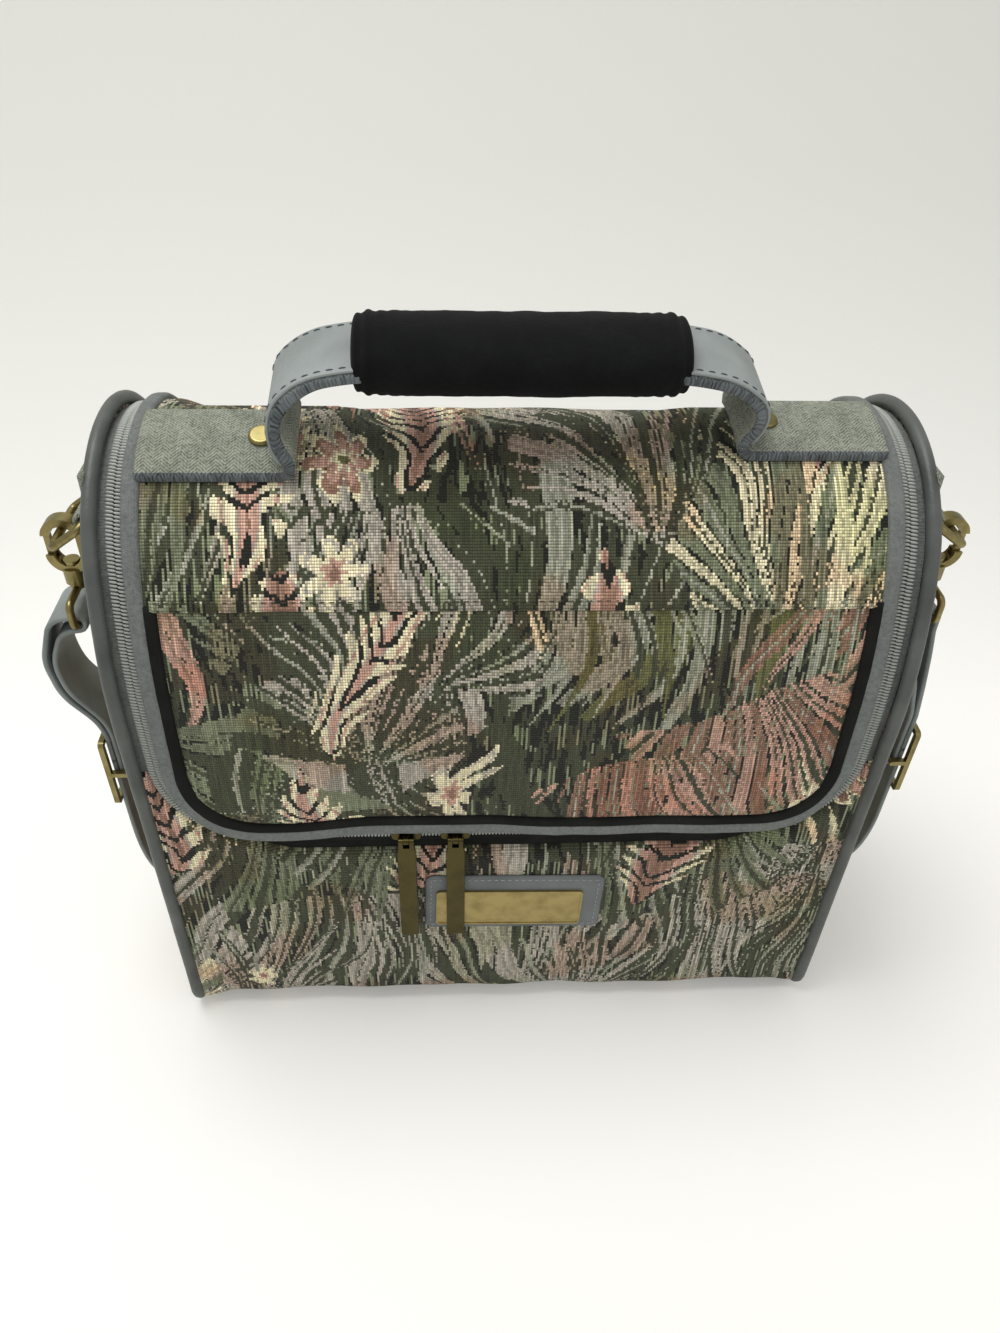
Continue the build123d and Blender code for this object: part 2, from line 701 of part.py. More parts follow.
def throat_face(sign, radius):
    # the hook's long-sided throat or its outline, seen from the front
    with BuildSketch() as outline:
        with Locations((sign * ring_outer_x, hook_top), (sign * ring_outer_x, hook_bottom)):
            Circle(radius)
        with Locations((sign * ring_outer_x, (hook_top + hook_bottom) / 2)):
            Rectangle(2 * radius, hook_throat)
    return outline.sketch


for side, sign in (("left", -1), ("right", 1)):
    fitting_plane = Plane.XZ.offset(-fitting_y)
    with BuildPart() as ring_tab:
        with BuildSketch(Plane.YZ.offset(sign * end_outer_face)):
            tab_middle = (fitting_height - tab_drop + case_height) / 2
            with Locations((fitting_y, tab_middle)):
                Rectangle(tab_width, case_height - fitting_height + tab_drop)
            add(arch_face(piping_radius, piping_radius, base_corner), mode=Mode.INTERSECT)
        extrude(amount=sign * tab_thickness)
        with BuildSketch(fitting_plane):
            with Locations((sign * ring_bar_x, fitting_height)):
                Circle(loop_outer)
        extrude(amount=tab_width / 2, both=True)
        with BuildSketch(fitting_plane):
            with Locations((sign * ring_bar_x, fitting_height)):
                Circle(ring_wire + tab_clearance)
        extrude(amount=tab_width / 2, both=True, mode=Mode.SUBTRACT)
    write(ring_tab, f"ring_tab_{side}")

    ring_plane = Plane(
        origin=(sign * ring_bar_x, fitting_y, fitting_height),
        x_dir=(0, 1, 0),
        z_dir=Vector(0, 1, 0).cross(Vector(sign * cos(droop), 0, -sin(droop))),
    )
    with BuildPart() as ring:
        with BuildLine(ring_plane) as ring_path:
            ring_half = ring_inner / 2 + ring_wire
            FilletPolyline((0, 0), (ring_half, 0), (ring_half, ring_reach), (0, ring_reach), radius=ring_corner)
        with BuildSketch(Plane(origin=ring_plane.origin, z_dir=(0, 1, 0))):
            Circle(ring_wire)
        sweep(path=ring_path.wires()[0])
        mirror(about=fitting_plane)
    write(ring, f"ring_{side}")

    with BuildPart() as snap_hook:
        with BuildSketch(fitting_plane):
            add(throat_face(sign, hook_outer))
        extrude(amount=hook_thickness / 2, both=True)
        with BuildSketch(Plane((sign * ring_outer_x, fitting_y, barrel_bottom))):
            Circle(barrel_radius)
        extrude(amount=barrel_height)
        with BuildSketch(fitting_plane):
            add(throat_face(sign, hook_inner))
            with Locations((sign * (ring_outer_x + hook_outer), hook_bottom + (hook_throat + gate_rise + gate_gap) / 2)):
                Rectangle(2 * (hook_outer - hook_inner / 2), hook_throat + gate_rise + gate_gap)
        extrude(amount=hook_outer, both=True, mode=Mode.SUBTRACT)
        with BuildSketch(fitting_plane):
            with Locations((sign * (ring_outer_x + gate_x), gate_pivot_z)):
                Circle(gate_thickness / 2 + gate_gap)
            with Locations((sign * (ring_outer_x + hook_outer), hook_bottom - gate_pivot_drop / 2)):
                Rectangle(2 * (hook_outer - hook_inner / 2), gate_pivot_drop + gate_thickness)
        extrude(amount=gate_clear_width / 2, both=True, mode=Mode.SUBTRACT)
        with BuildSketch(fitting_plane):
            with Locations((sign * (ring_outer_x + gate_x), gate_pivot_z)):
                Circle(gate_pin_radius + gate_pin_clearance)
        extrude(amount=hook_thickness, both=True, mode=Mode.SUBTRACT)
        with BuildSketch(Plane((sign * ring_outer_x, fitting_y, hook_bottom - hook_inner))):
            Circle(head_radius + gate_gap)
        extrude(amount=hook_inner, mode=Mode.SUBTRACT)
        with BuildSketch(Plane((sign * ring_outer_x, fitting_y, hook_bottom))):
            Circle(shank_radius + shank_clearance)
        extrude(amount=eye_low - hook_bottom, mode=Mode.SUBTRACT)
    write(snap_hook, f"snap_hook_{side}")

    with BuildPart() as hook_gate:
        with BuildSketch(fitting_plane):
            with Locations((sign * (ring_outer_x + gate_x), gate_pivot_z)):
                Circle(gate_thickness / 2)
            gate_tip = hook_top + gate_rise
            with Locations((sign * (ring_outer_x + gate_x), (gate_tip + gate_pivot_z) / 2)):
                Rectangle(gate_thickness, gate_tip - gate_pivot_z)
        extrude(amount=gate_width / 2, both=True)
        with BuildSketch(fitting_plane):
            with Locations((sign * (ring_outer_x + gate_x), gate_pivot_z)):
                Circle(gate_pin_radius)
        extrude(amount=hook_thickness / 2, both=True)
    write(hook_gate, f"hook_gate_{side}")

    with BuildPart() as strap_eye:
        with BuildSketch(Plane((sign * ring_outer_x, fitting_y, head_low))):
            Circle(head_radius)
        extrude(amount=head_thickness)
        with BuildSketch(Plane((sign * ring_outer_x, fitting_y, head_low))):
            Circle(shank_radius)
        extrude(amount=eye_top - head_low)
        with BuildSketch(Plane((sign * ring_outer_x, fitting_y, collar_top))):
            Circle(collar_radius)
        extrude(amount=-collar_height)
        eye_plane = Plane(origin=(sign * ring_outer_x, fitting_y, eye_top), x_dir=(0, 1, 0), z_dir=(1, 0, 0))
        with BuildLine(eye_plane) as eye_path:
            eye_half = eye_inner / 2 + eye_wire
            FilletPolyline((0, 0), (eye_half, 0), (eye_half, -eye_drop), (0, -eye_drop), radius=eye_corner)
        with BuildSketch(Plane(origin=eye_plane.origin, z_dir=(0, 1, 0))):
            Circle(eye_wire)
        sweep(path=eye_path.wires()[0])
        mirror(about=fitting_plane)
    write(strap_eye, f"strap_eye_{side}")

    # frame of the slide outside the webbing, its middle bar behind the outer layer
    place = slide_places[side]
    outer_layer_x = place - slide_bar / 2 - slide_gap - webbing_thickness / 2
    inner_layer_x = outer_layer_x - middle_layer
    fold_radius = slide_bar / 2 + slide_gap + webbing_thickness / 2
    middle_bar_x = inner_layer_x - fold_radius
    with BuildPart() as strap_slide:
        with BuildSketch(Plane.YZ.offset(sign * (place - slide_bar / 2))):
            with Locations((fitting_y, slide_height)):
                RectangleRounded(slide_width, slide_length, slide_rail)
                Rectangle(slide_width - 2 * slide_rail, slide_length - 2 * slide_rail, mode=Mode.SUBTRACT)
        extrude(amount=sign * slide_bar)
        with BuildSketch(fitting_plane.offset(slide_width / 2 - slide_rail)):
            with Locations((sign * (place + middle_bar_x) / 2, slide_height)):
                Rectangle(place - middle_bar_x, slide_bar)
            with Locations((sign * middle_bar_x, slide_height)):
                Circle(slide_bar / 2)
        extrude(amount=slide_rail)
        with BuildSketch(fitting_plane.offset(-slide_width / 2)):
            with Locations((sign * (place + middle_bar_x) / 2, slide_height)):
                Rectangle(place - middle_bar_x, slide_bar)
            with Locations((sign * middle_bar_x, slide_height)):
                Circle(slide_bar / 2)
        extrude(amount=slide_rail)
        with BuildSketch(fitting_plane):
            with Locations((sign * middle_bar_x, slide_height)):
                Circle(slide_bar / 2)
        extrude(amount=slide_width / 2, both=True)
    write(strap_slide, f"strap_slide_{side}")

# Shoulder strap: down each end of the bag, round to the back and along the floor
eye_wrap = eye_wire + strap_layer_gap + webbing_thickness / 2
with BuildPart() as shoulder_strap:
    for side, sign in (("left", -1), ("right", 1)):
        fitting_plane = Plane.XZ.offset(-fitting_y)
        place = slide_places[side]
        outer_layer_x = place - slide_bar / 2 - slide_gap - webbing_thickness / 2
        inner_layer_x = outer_layer_x - middle_layer
        fold_radius = slide_bar / 2 + slide_gap + webbing_thickness / 2
        turn_top = strap_bottom + strap_turn_radius
        if side == "left":
            wrap = [(ring_outer_x - eye_wrap, eye_low + eye_wrap), (ring_outer_x - eye_wrap, eye_low - eye_wrap)]
        else:
            wrap = [(ring_outer_x + eye_wrap, eye_low + eye_wrap), (ring_outer_x - eye_wrap, eye_low + eye_wrap)]
        straight_top = slide_height + slide_length / 2 + strap_straight
        points = [(outer_layer_x, turn_top), (outer_layer_x, straight_top)]
        points += outer_layers[side] + wrap + inner_layers[side]
        points += [(inner_layer_x, straight_top + webbing_thickness / 2), (inner_layer_x, slide_height)]
        radii = path_radii(points, largest=strap_bend_radius)
        with BuildSketch(fitting_plane):
            with BuildLine():
                FilletPolyline(*[(sign * x, z) for x, z in points], radius=radii)
            trace(line_width=webbing_thickness)
            with Locations((sign * (inner_layer_x - fold_radius), slide_height)):
                Circle(fold_radius + webbing_thickness / 2)
                Circle(fold_radius - webbing_thickness / 2, mode=Mode.SUBTRACT)
        extrude(amount=webbing_width / 2, both=True)
        with BuildSketch(Plane.YZ.offset(sign * outer_layer_x)):
            with BuildLine():
                CenterArc((strap_turn_y, turn_top), strap_turn_radius, 180, 90)
            trace(line_width=webbing_width)
        extrude(amount=webbing_thickness / 2, both=True)
    ends = [slide_places[side] - slide_bar / 2 - slide_gap - webbing_thickness / 2 for side in ("left", "right")]
    run = [(-ends[0], strap_turn_y), (-ends[0], back_run[0][1] - strap_corner_lead)] + back_run
    run += [(ends[1], back_run[-1][1] - strap_corner_lead), (ends[1], strap_turn_y)]
    with BuildSketch(Plane.XY.offset(strap_floor_gap)):
        with BuildLine():
            FilletPolyline(*run, radius=path_radii(run, largest=strap_back_radius))
        trace(line_width=webbing_thickness)
    extrude(amount=webbing_width)
write(shoulder_strap, "shoulder_strap")
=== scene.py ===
import math

import bmesh
import bpy
from mathutils import Matrix, Vector, noise


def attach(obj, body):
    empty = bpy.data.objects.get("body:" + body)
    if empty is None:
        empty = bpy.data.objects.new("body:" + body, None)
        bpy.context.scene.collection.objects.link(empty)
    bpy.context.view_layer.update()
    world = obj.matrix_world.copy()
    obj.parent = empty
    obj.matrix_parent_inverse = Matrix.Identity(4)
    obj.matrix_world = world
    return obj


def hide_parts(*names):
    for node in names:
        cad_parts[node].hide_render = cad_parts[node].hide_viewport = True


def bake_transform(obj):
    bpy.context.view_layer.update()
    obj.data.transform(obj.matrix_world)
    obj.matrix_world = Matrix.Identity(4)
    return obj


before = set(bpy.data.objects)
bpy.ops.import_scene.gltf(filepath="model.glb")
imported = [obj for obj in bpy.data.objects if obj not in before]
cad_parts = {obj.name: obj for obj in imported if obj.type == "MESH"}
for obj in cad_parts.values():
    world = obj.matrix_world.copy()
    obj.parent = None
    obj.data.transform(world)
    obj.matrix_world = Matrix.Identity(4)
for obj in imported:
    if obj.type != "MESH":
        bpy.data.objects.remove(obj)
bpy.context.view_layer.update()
mm = 0.001
print("frame loaded")

# Sizes that several pieces share, in millimetres
bag = {
    "halfWidth": 158.0,  # middle of the piping at each end
    "halfDepth": 70.0,
    "height": 303.0,
    "shoulder": 195.0,
    "sideRadius": 190.0,
    "baseCorner": 14.0,
    "piping": 3.3,
    "faceInset": 0.4,
    "panel": 2.6,
    "endOutset": 2.0,
    "hinge": 195.0,
    "seamY": 50.0,  # seam of the walls under the base
    "gap": 0.3,
}
zipLine = {"side": 150.15, "height": 133.5, "corner": 41.5, "halfGap": 0.55, "teeth": 2.4, "mouth": 9.4}
lid = {"edging": 5.55, "pocket": 12.15, "fold": 252.0}

rise = bag["height"] - bag["shoulder"]
arcCentre = bag["sideRadius"] - bag["halfDepth"]
crownLift = (arcCentre**2 - (bag["sideRadius"] - rise) ** 2) / (2 * (bag["sideRadius"] - rise))
crownRadius = rise - crownLift
crownCentre = bag["shoulder"] + crownLift
sideTurn = math.atan2(crownLift, arcCentre)
crownRun = crownRadius * (math.pi / 2 - sideTurn)
sideRun = crownRun + bag["sideRadius"] * sideTurn
wallRun = sideRun + bag["shoulder"] - bag["baseCorner"] + bag["faceInset"]
cornerRun = wallRun + bag["baseCorner"] * math.pi / 2
seamRun = cornerRun + bag["halfDepth"] - bag["baseCorner"] - bag["seamY"]


def wallFrame(run, lift=0.0):
    # point and outward normal of the bag's wall; run is the distance from the crown, minus to the front
    side = 1 if run >= 0 else -1
    run = abs(run)
    if run < crownRun:
        angle, middle, radius = math.pi / 2 - run / crownRadius, (0.0, crownCentre), crownRadius
    elif run < sideRun:
        angle = sideTurn - (run - crownRun) / bag["sideRadius"]
        middle, radius = (-arcCentre, bag["shoulder"]), bag["sideRadius"]
    elif run < wallRun - lift:
        point = Vector((0, side * bag["halfDepth"], bag["shoulder"] - (run - sideRun)))
        return point, Vector((0, side, 0))
    elif run < cornerRun - lift:
        angle, radius = -(run - wallRun + lift) / bag["baseCorner"], bag["baseCorner"]
        middle = (bag["halfDepth"] - radius, radius - bag["faceInset"] + lift)
    else:
        y = bag["halfDepth"] - bag["baseCorner"] - (run - cornerRun + lift)
        return Vector((0, side * y, lift - bag["faceInset"])), Vector((0, 0, -1))
    normal = Vector((0, side * math.cos(angle), math.sin(angle)))
    y = middle[0] + radius * math.cos(angle)
    return Vector((0, side * y, middle[1] + radius * math.sin(angle))), normal


def wallPoint(x, run, inset=0.0, lift=0.0):
    point, normal = wallFrame(run, lift)
    point = point - inset * normal
    point.x = x
    return point


def runAt(z):
    # distance from the crown down the wall to a height
    if z < bag["shoulder"]:
        return sideRun + bag["shoulder"] - z
    if z < crownCentre + crownRadius * math.sin(sideTurn):
        return crownRun + bag["sideRadius"] * (sideTurn - math.asin((z - bag["shoulder"]) / bag["sideRadius"]))
    return crownRadius * (math.pi / 2 - math.asin(min((z - crownCentre) / crownRadius, 1.0)))


def ripple(x, y, size, seed):
    return noise.noise(Vector((x / size, y / size, seed)))


def smoothStep(value):
    value = min(max(value, 0.0), 1.0)
    return value * value * (3 - 2 * value)


def spread(low, high, count):
    return [low + (high - low) * i / (count - 1) for i in range(count)]


def colour(red, green, blue):
    # screen colour from 0 to 255 as the shader wants it
    def channel(value):
        value /= 255
        return value / 12.92 if value <= 0.04045 else ((value + 0.055) / 1.055) ** 2.4

    return (channel(red), channel(green), channel(blue), 1.0)


# Node helpers for the materials
def startMaterial(name, base, roughness, metallic=0.0):
    material = bpy.data.materials.new(name)
    material.use_nodes = True
    shader = material.node_tree.nodes["Principled BSDF"]
    shader.inputs["Base Color"].default_value = base
    shader.inputs["Roughness"].default_value = roughness
    shader.inputs["Metallic"].default_value = metallic
    return material, material.node_tree, shader


def feed(tree, socket, value):
    if isinstance(value, bpy.types.NodeSocket):
        tree.links.new(value, socket)
    else:
        socket.default_value = value


def mathStep(tree, operation, a, b=0.0, c=0.0):
    node = tree.nodes.new("ShaderNodeMath")
    node.operation = operation
    for socket, value in zip(node.inputs, (a, b, c)):
        feed(tree, socket, value)
    return node.outputs[0]


def vectorStep(tree, operation, a, b=(0.0, 0.0, 0.0)):
    node = tree.nodes.new("ShaderNodeVectorMath")
    node.operation = operation
    feed(tree, node.inputs[0], a)
    feed(tree, node.inputs[1], b)
    return node.outputs["Vector"]


def blendColours(tree, factor, a, b, kind="MIX"):
    node = tree.nodes.new("ShaderNodeMix")
    node.data_type = "RGBA"
    node.blend_type = kind
    feed(tree, node.inputs[0], factor)
    feed(tree, node.inputs[6], a)
    feed(tree, node.inputs[7], b)
    return node.outputs[2]


def colourSteps(tree, factor, stops, steps=False):
    node = tree.nodes.new("ShaderNodeValToRGB")
    ramp = node.color_ramp
    ramp.interpolation = "CONSTANT" if steps else "LINEAR"
    while len(ramp.elements) < len(stops):
        ramp.elements.new(0.5)
    for element, (place, value) in zip(ramp.elements, stops):
        element.position = place
        element.color = value
    feed(tree, node.inputs[0], factor)
    return node.outputs[0]


def between(tree, value, low, high):
    node = tree.nodes.new("ShaderNodeMapRange")
    feed(tree, node.inputs[0], value)
    node.inputs[1].default_value = low
    node.inputs[2].default_value = high
    return node.outputs[0]


def noiseStep(tree, vector, scale, detail=2.0, roughness=0.5):
    node = tree.nodes.new("ShaderNodeTexNoise")
    feed(tree, node.inputs["Vector"], vector)
    node.inputs["Scale"].default_value = scale
    node.inputs["Detail"].default_value = detail
    node.inputs["Roughness"].default_value = roughness
    return node.outputs[0], node.outputs[1]


def cellStep(tree, vector, scale, randomness=1.0):
    node = tree.nodes.new("ShaderNodeTexVoronoi")
    node.voronoi_dimensions = "2D"
    feed(tree, node.inputs["Vector"], vector)
    node.inputs["Scale"].default_value = scale
    node.inputs["Randomness"].default_value = randomness
    return node.outputs["Distance"], node.outputs["Color"], node.outputs["Position"]


def split(tree, vector):
    node = tree.nodes.new("ShaderNodeSeparateXYZ")
    feed(tree, node.inputs[0], vector)
    return node.outputs[0], node.outputs[1], node.outputs[2]


def join(tree, x, y, z=0.0):
    node = tree.nodes.new("ShaderNodeCombineXYZ")
    for socket, value in zip(node.inputs, (x, y, z)):
        feed(tree, socket, value)
    return node.outputs[0]


def addBump(tree, shader, height, distance, strength=1.0):
    node = tree.nodes.new("ShaderNodeBump")
    node.inputs["Strength"].default_value = strength
    node.inputs["Distance"].default_value = distance
    feed(tree, node.inputs["Height"], height)
    tree.links.new(node.outputs[0], shader.inputs["Normal"])


def clothPlace(tree):
    # place on the flat cloth, in millimetres
    node = tree.nodes.new("ShaderNodeUVMap")
    node.uv_map = "cloth"
    return vectorStep(tree, "MULTIPLY", node.outputs[0], (100.0, 100.0, 0.0))


def objectPlace(tree, scale=1000.0):
    node = tree.nodes.new("ShaderNodeTexCoord")
    return vectorStep(tree, "MULTIPLY", node.outputs["Object"], (scale, scale, scale))


def threadWave(tree, place, pitch, phase=0.0):
    # 0 at the sides of a thread and 1 along its middle
    turn = mathStep(tree, "MULTIPLY_ADD", place, math.pi / pitch, phase)
    return mathStep(tree, "ABSOLUTE", mathStep(tree, "SINE", turn))


tapestry = {
    "threadAcross": 0.95,  # mm
    "threadUp": 1.2,
    "fray": (0.6, 1.3),  # how far threads stray over the edges of the drawing
    "backTuft": (88.0, 0.72, (40.0, 0.0, 0.0), 7.5, 0.95),  # cell, stretch, shift, blades per radian, length
    "frontTuft": (76.0, 0.7, (7.0, 33.0, 0.0), 7.0, 0.62),
    "drift": (22.0, 18.0),  # how far the drawing bends
    "plumeSize": 60.0,
    "plumesKept": 0.5,
    "flowerSize": 37.0,
    "flowersKept": 0.09,
    "black": colour(24, 25, 15),
    "deepGreen": colour(68, 72, 50),
    "moss": colour(108, 108, 64),
    "sage": colour(128, 134, 106),
    "grey": colour(166, 166, 146),
    "lavender": colour(188, 180, 164),
    "pink": colour(204, 162, 142),
    "mauve": colour(154, 118, 98),
    "cream": colour(238, 227, 188),
    "pinkWash": (0.96, 0.8, 0.74, 1.0),
    "greenWash": (0.86, 0.9, 0.76, 1.0),
}


def tapestryMaterial():
    t = tapestry
    material, tree, shader = startMaterial("tapestryCloth", t["sage"], 0.92)

    def step(operation, a, b=0.0, c=0.0):
        return mathStep(tree, operation, a, b, c)

    def cells(place, size, stretch, shift):
        # nearest cell of a place: distance, three random numbers, and the place from the cell's middle
        scaled = vectorStep(tree, "ADD", vectorStep(tree, "MULTIPLY", place, (1.0, stretch, 0.0)), shift)
        near, pick, middle = cellStep(tree, scaled, 1 / size, 0.9)
        local = vectorStep(tree, "MULTIPLY", vectorStep(tree, "SUBTRACT", scaled, middle), (1 / size, 1 / size, 0.0))
        localX, localY, unused = split(tree, local)
        return near, split(tree, pick), localX, localY

    place = clothPlace(tree)
    threads = vectorStep(tree, "SNAP", place, (t["threadAcross"], t["threadUp"], 1.0))
    column, unused = noiseStep(tree, vectorStep(tree, "MULTIPLY", threads, (1.05, 0.045, 0.0)), 1.0, 0.0)
    speck = tree.nodes.new("ShaderNodeTexWhiteNoise")
    feed(tree, speck.inputs["Vector"], threads)
    stray = vectorStep(tree, "SUBTRACT", speck.outputs["Color"], (0.5, 0.5, 0.5))
    frayed = vectorStep(tree, "ADD", threads, vectorStep(tree, "MULTIPLY", stray, (*t["fray"], 0.0)))
    unused, driftColour = noiseStep(tree, threads, 1 / 48.0, 0.0)
    centred = vectorStep(tree, "SUBTRACT", driftColour, (0.5, 0.5, 0.5))
    drift = vectorStep(tree, "MULTIPLY", centred, (*t["drift"], 0.0))
    drifted = vectorStep(tree, "ADD", frayed, drift)

    def tuft(under, size, stretch, shift, count, tall):
        # a fan of pointed blades from one foot, hanging or standing, in three tones of one colour
        near, (red, green, blue), localX, localY = cells(drifted, size, stretch, shift)
        flip = step("MULTIPLY_ADD", step("GREATER_THAN", red, 0.5), 2.0, -1.0)
        high = step("MULTIPLY_ADD", localY, flip, 0.72)
        far = step("SQRT", step("MULTIPLY_ADD", localX, localX, step("MULTIPLY", high, high)))
        lean = step("MULTIPLY_ADD", blue, 0.8, -0.4)
        around = step("MULTIPLY_ADD", far, lean, step("ARCTAN2", localX, step("MAXIMUM", high, 0.02)))
        bladePlace = step("MULTIPLY", around, count)
        within = step("ABSOLUTE", step("SUBTRACT", step("FRACT", bladePlace), 0.5))
        chance = tree.nodes.new("ShaderNodeTexWhiteNoise")
        number = step("FLOOR", bladePlace)
        feed(tree, chance.inputs["Vector"], join(tree, number, step("MULTIPLY", green, 50.0), blue))
        chanceRed, chanceGreen, chanceBlue = split(tree, chance.outputs["Color"])
        length = step("MULTIPLY_ADD", chanceRed, tall, tall)
        taper = step("MINIMUM", step("DIVIDE", step("SUBTRACT", length, far), 0.45), 1.0)
        inside = step("LESS_THAN", within, step("MULTIPLY", taper, 0.41))
        darker = colourSteps(
            tree, green,
            [(0.0, t["deepGreen"]), (0.3, t["moss"]), (0.42, t["mauve"]), (0.62, t["deepGreen"]),
             (0.85, t["sage"])],
            steps=True)
        lighter = colourSteps(
            tree, green,
            [(0.0, t["sage"]), (0.18, t["grey"]), (0.42, t["pink"]), (0.62, t["lavender"]), (0.85, t["cream"])],
            steps=True)
        tone = blendColours(tree, step("GREATER_THAN", chanceGreen, 0.45), darker, lighter)
        vein = step("LESS_THAN", within, step("MULTIPLY_ADD", chanceBlue, 0.26, -0.08))
        veined = blendColours(tree, step("GREATER_THAN", chanceGreen, 0.45), t["grey"], t["deepGreen"])
        tone = blendColours(tree, vein, tone, veined)
        ribs = step("LESS_THAN", step("FRACT", step("MULTIPLY", bladePlace, 3.0)), 0.34)
        tone = blendColours(tree, step("MULTIPLY", ribs, 0.42), tone, t["deepGreen"])
        return blendColours(tree, inside, under, tone)

    ground, unused = noiseStep(tree, vectorStep(tree, "MULTIPLY", drifted, (0.3, 0.05, 0.0)), 1.0, 1.0)
    ground = blendColours(tree, step("GREATER_THAN", ground, 0.5), t["black"], t["deepGreen"])
    ground = blendColours(tree, step("GREATER_THAN", column, 0.62), ground, t["sage"])
    blades = tuft(ground, *t["backTuft"])
    blades = tuft(blades, *t["frontTuft"])

    # Broad washes that tint the blades pink in one place and green in another
    wash, unused = noiseStep(tree, drifted, 1 / 40.0, 1.0)
    washed = blendColours(tree, between(tree, wash, 0.53, 0.58), blades, t["pinkWash"], "MULTIPLY")
    shade, unused = noiseStep(tree, vectorStep(tree, "ADD", drifted, (300.0, 70.0, 0.0)), 1 / 52.0, 1.0)
    washed = blendColours(tree, between(tree, shade, 0.54, 0.62), washed, t["greenWash"], "MULTIPLY")

    # Feathered plumes, dark between the barbs, pink along the middle and cream at the tips
    near, (red, green, blue), localX, localY = cells(drifted, t["plumeSize"], 0.62, (0.0, 25.0, 0.0))
    side = step("ADD", localX, step("MULTIPLY", localY, step("MULTIPLY_ADD", red, 1.5, -0.75)))
    side = step("ABSOLUTE", side)
    barbPlace = step("MULTIPLY_ADD", localY, 52.0, step("MULTIPLY", wash, 40.0))
    barbs = step("SINE", step("MULTIPLY_ADD", side, -44.0, barbPlace))
    wide = step("MULTIPLY", step("SUBTRACT", 0.3, step("MULTIPLY", step("MULTIPLY", localY, localY), 1.1)), 0.85)
    reach = step("MULTIPLY", wide, step("MULTIPLY_ADD", barbs, 0.32, 0.85))
    plume = step("MULTIPLY", step("LESS_THAN", side, reach), step("LESS_THAN", green, t["plumesKept"]))
    share = step("DIVIDE", side, step("MAXIMUM", wide, 0.03))
    share = step("ADD", share, step("MULTIPLY_ADD", blue, 0.5, -0.25))
    plumeColours = colourSteps(
        tree, share,
        [(0.0, t["mauve"]), (0.16, t["pink"]), (0.42, t["lavender"]), (0.5, t["cream"]), (0.86, t["pink"]),
         (0.95, t["cream"])],
        steps=True)
    gaps = step("LESS_THAN", barbs, -0.55)
    plumeColours = blendColours(tree, gaps, plumeColours, t["black"])
    picture = blendColours(tree, plume, washed, plumeColours)

    # Small flower heads with ragged petals
    near, (red, green, blue), localX, localY = cells(
        vectorStep(tree, "ADD", drifted, drift), t["flowerSize"], 0.78, (11.0, 60.0, 0.0))
    around = step("ARCTAN2", localX, localY)
    petals = step("ABSOLUTE", step("SINE", step("MULTIPLY_ADD", around, 3.5, step("MULTIPLY", red, 9.0))))
    reach = step("MULTIPLY_ADD", petals, 0.24, 0.16)
    head = step("MULTIPLY", step("LESS_THAN", near, reach), step("LESS_THAN", green, t["flowersKept"]))
    share = step("DIVIDE", near, reach)
    pinkHead = colourSteps(
        tree, share,
        [(0.0, t["moss"]), (0.15, t["cream"]), (0.32, t["pink"]), (0.62, t["mauve"]), (0.8, t["cream"])],
        steps=True)
    creamHead = colourSteps(
        tree, share,
        [(0.0, t["mauve"]), (0.2, t["pink"]), (0.4, t["cream"]), (0.8, t["lavender"]), (0.9, t["cream"])],
        steps=True)
    picture = blendColours(
        tree, head, picture, blendColours(tree, step("GREATER_THAN", blue, 0.5), pinkHead, creamHead))

    # Weave: light warp here and there, dark lines between the threads, each thread a little different
    placeX, placeY, unused = split(tree, place)
    level = step("MULTIPLY_ADD", speck.outputs["Value"], 0.36, step("MULTIPLY_ADD", column, 1.7, 0.22))
    picture = blendColours(tree, 1.0, picture, join(tree, level, level, level), "MULTIPLY")
    acrossThread = threadWave(tree, placeX, t["threadAcross"])
    upThread = threadWave(tree, placeY, t["threadUp"])
    lines = step("MAXIMUM", step("MULTIPLY", step("LESS_THAN", upThread, 0.4), 0.5),
                 step("MULTIPLY", step("LESS_THAN", acrossThread, 0.38), 0.36))
    picture = blendColours(tree, lines, picture, t["black"])
    feed(tree, shader.inputs["Base Color"], picture)
    weave = step("MULTIPLY_ADD", acrossThread, 0.6, upThread)
    weave = step("MULTIPLY_ADD", speck.outputs["Value"], 0.5, weave)
    addBump(tree, shader, weave, 0.0004, 0.9)
    shader.inputs["Sheen Weight"].default_value = 0.06
    return material


def vinylMaterial(name, base, dark, roughness, grain=0.9, bump=0.00012):
    # coated cloth: fine leather grain, faint mottling and grey wear
    material, tree, shader = startMaterial(name, base, roughness)
    place = objectPlace(tree)
    mottle, unused = noiseStep(tree, place, 0.045, 3.0)
    feed(tree, shader.inputs["Base Color"], blendColours(tree, between(tree, mottle, 0.35, 0.7), base, dark))
    pebble = tree.nodes.new("ShaderNodeTexVoronoi")
    feed(tree, pebble.inputs["Vector"], place)
    pebble.inputs["Scale"].default_value = grain
    fine, unused = noiseStep(tree, place, 2.2, 2.0)
    height = mathStep(tree, "MULTIPLY_ADD", fine, 0.6, pebble.outputs["Distance"])
    addBump(tree, shader, height, bump, 0.6)
    roughShift = mathStep(tree, "MULTIPLY_ADD", fine, 0.16, roughness - 0.08)
    feed(tree, shader.inputs["Roughness"], roughShift)
    shader.inputs["Specular IOR Level"].default_value = 0.4
    return material


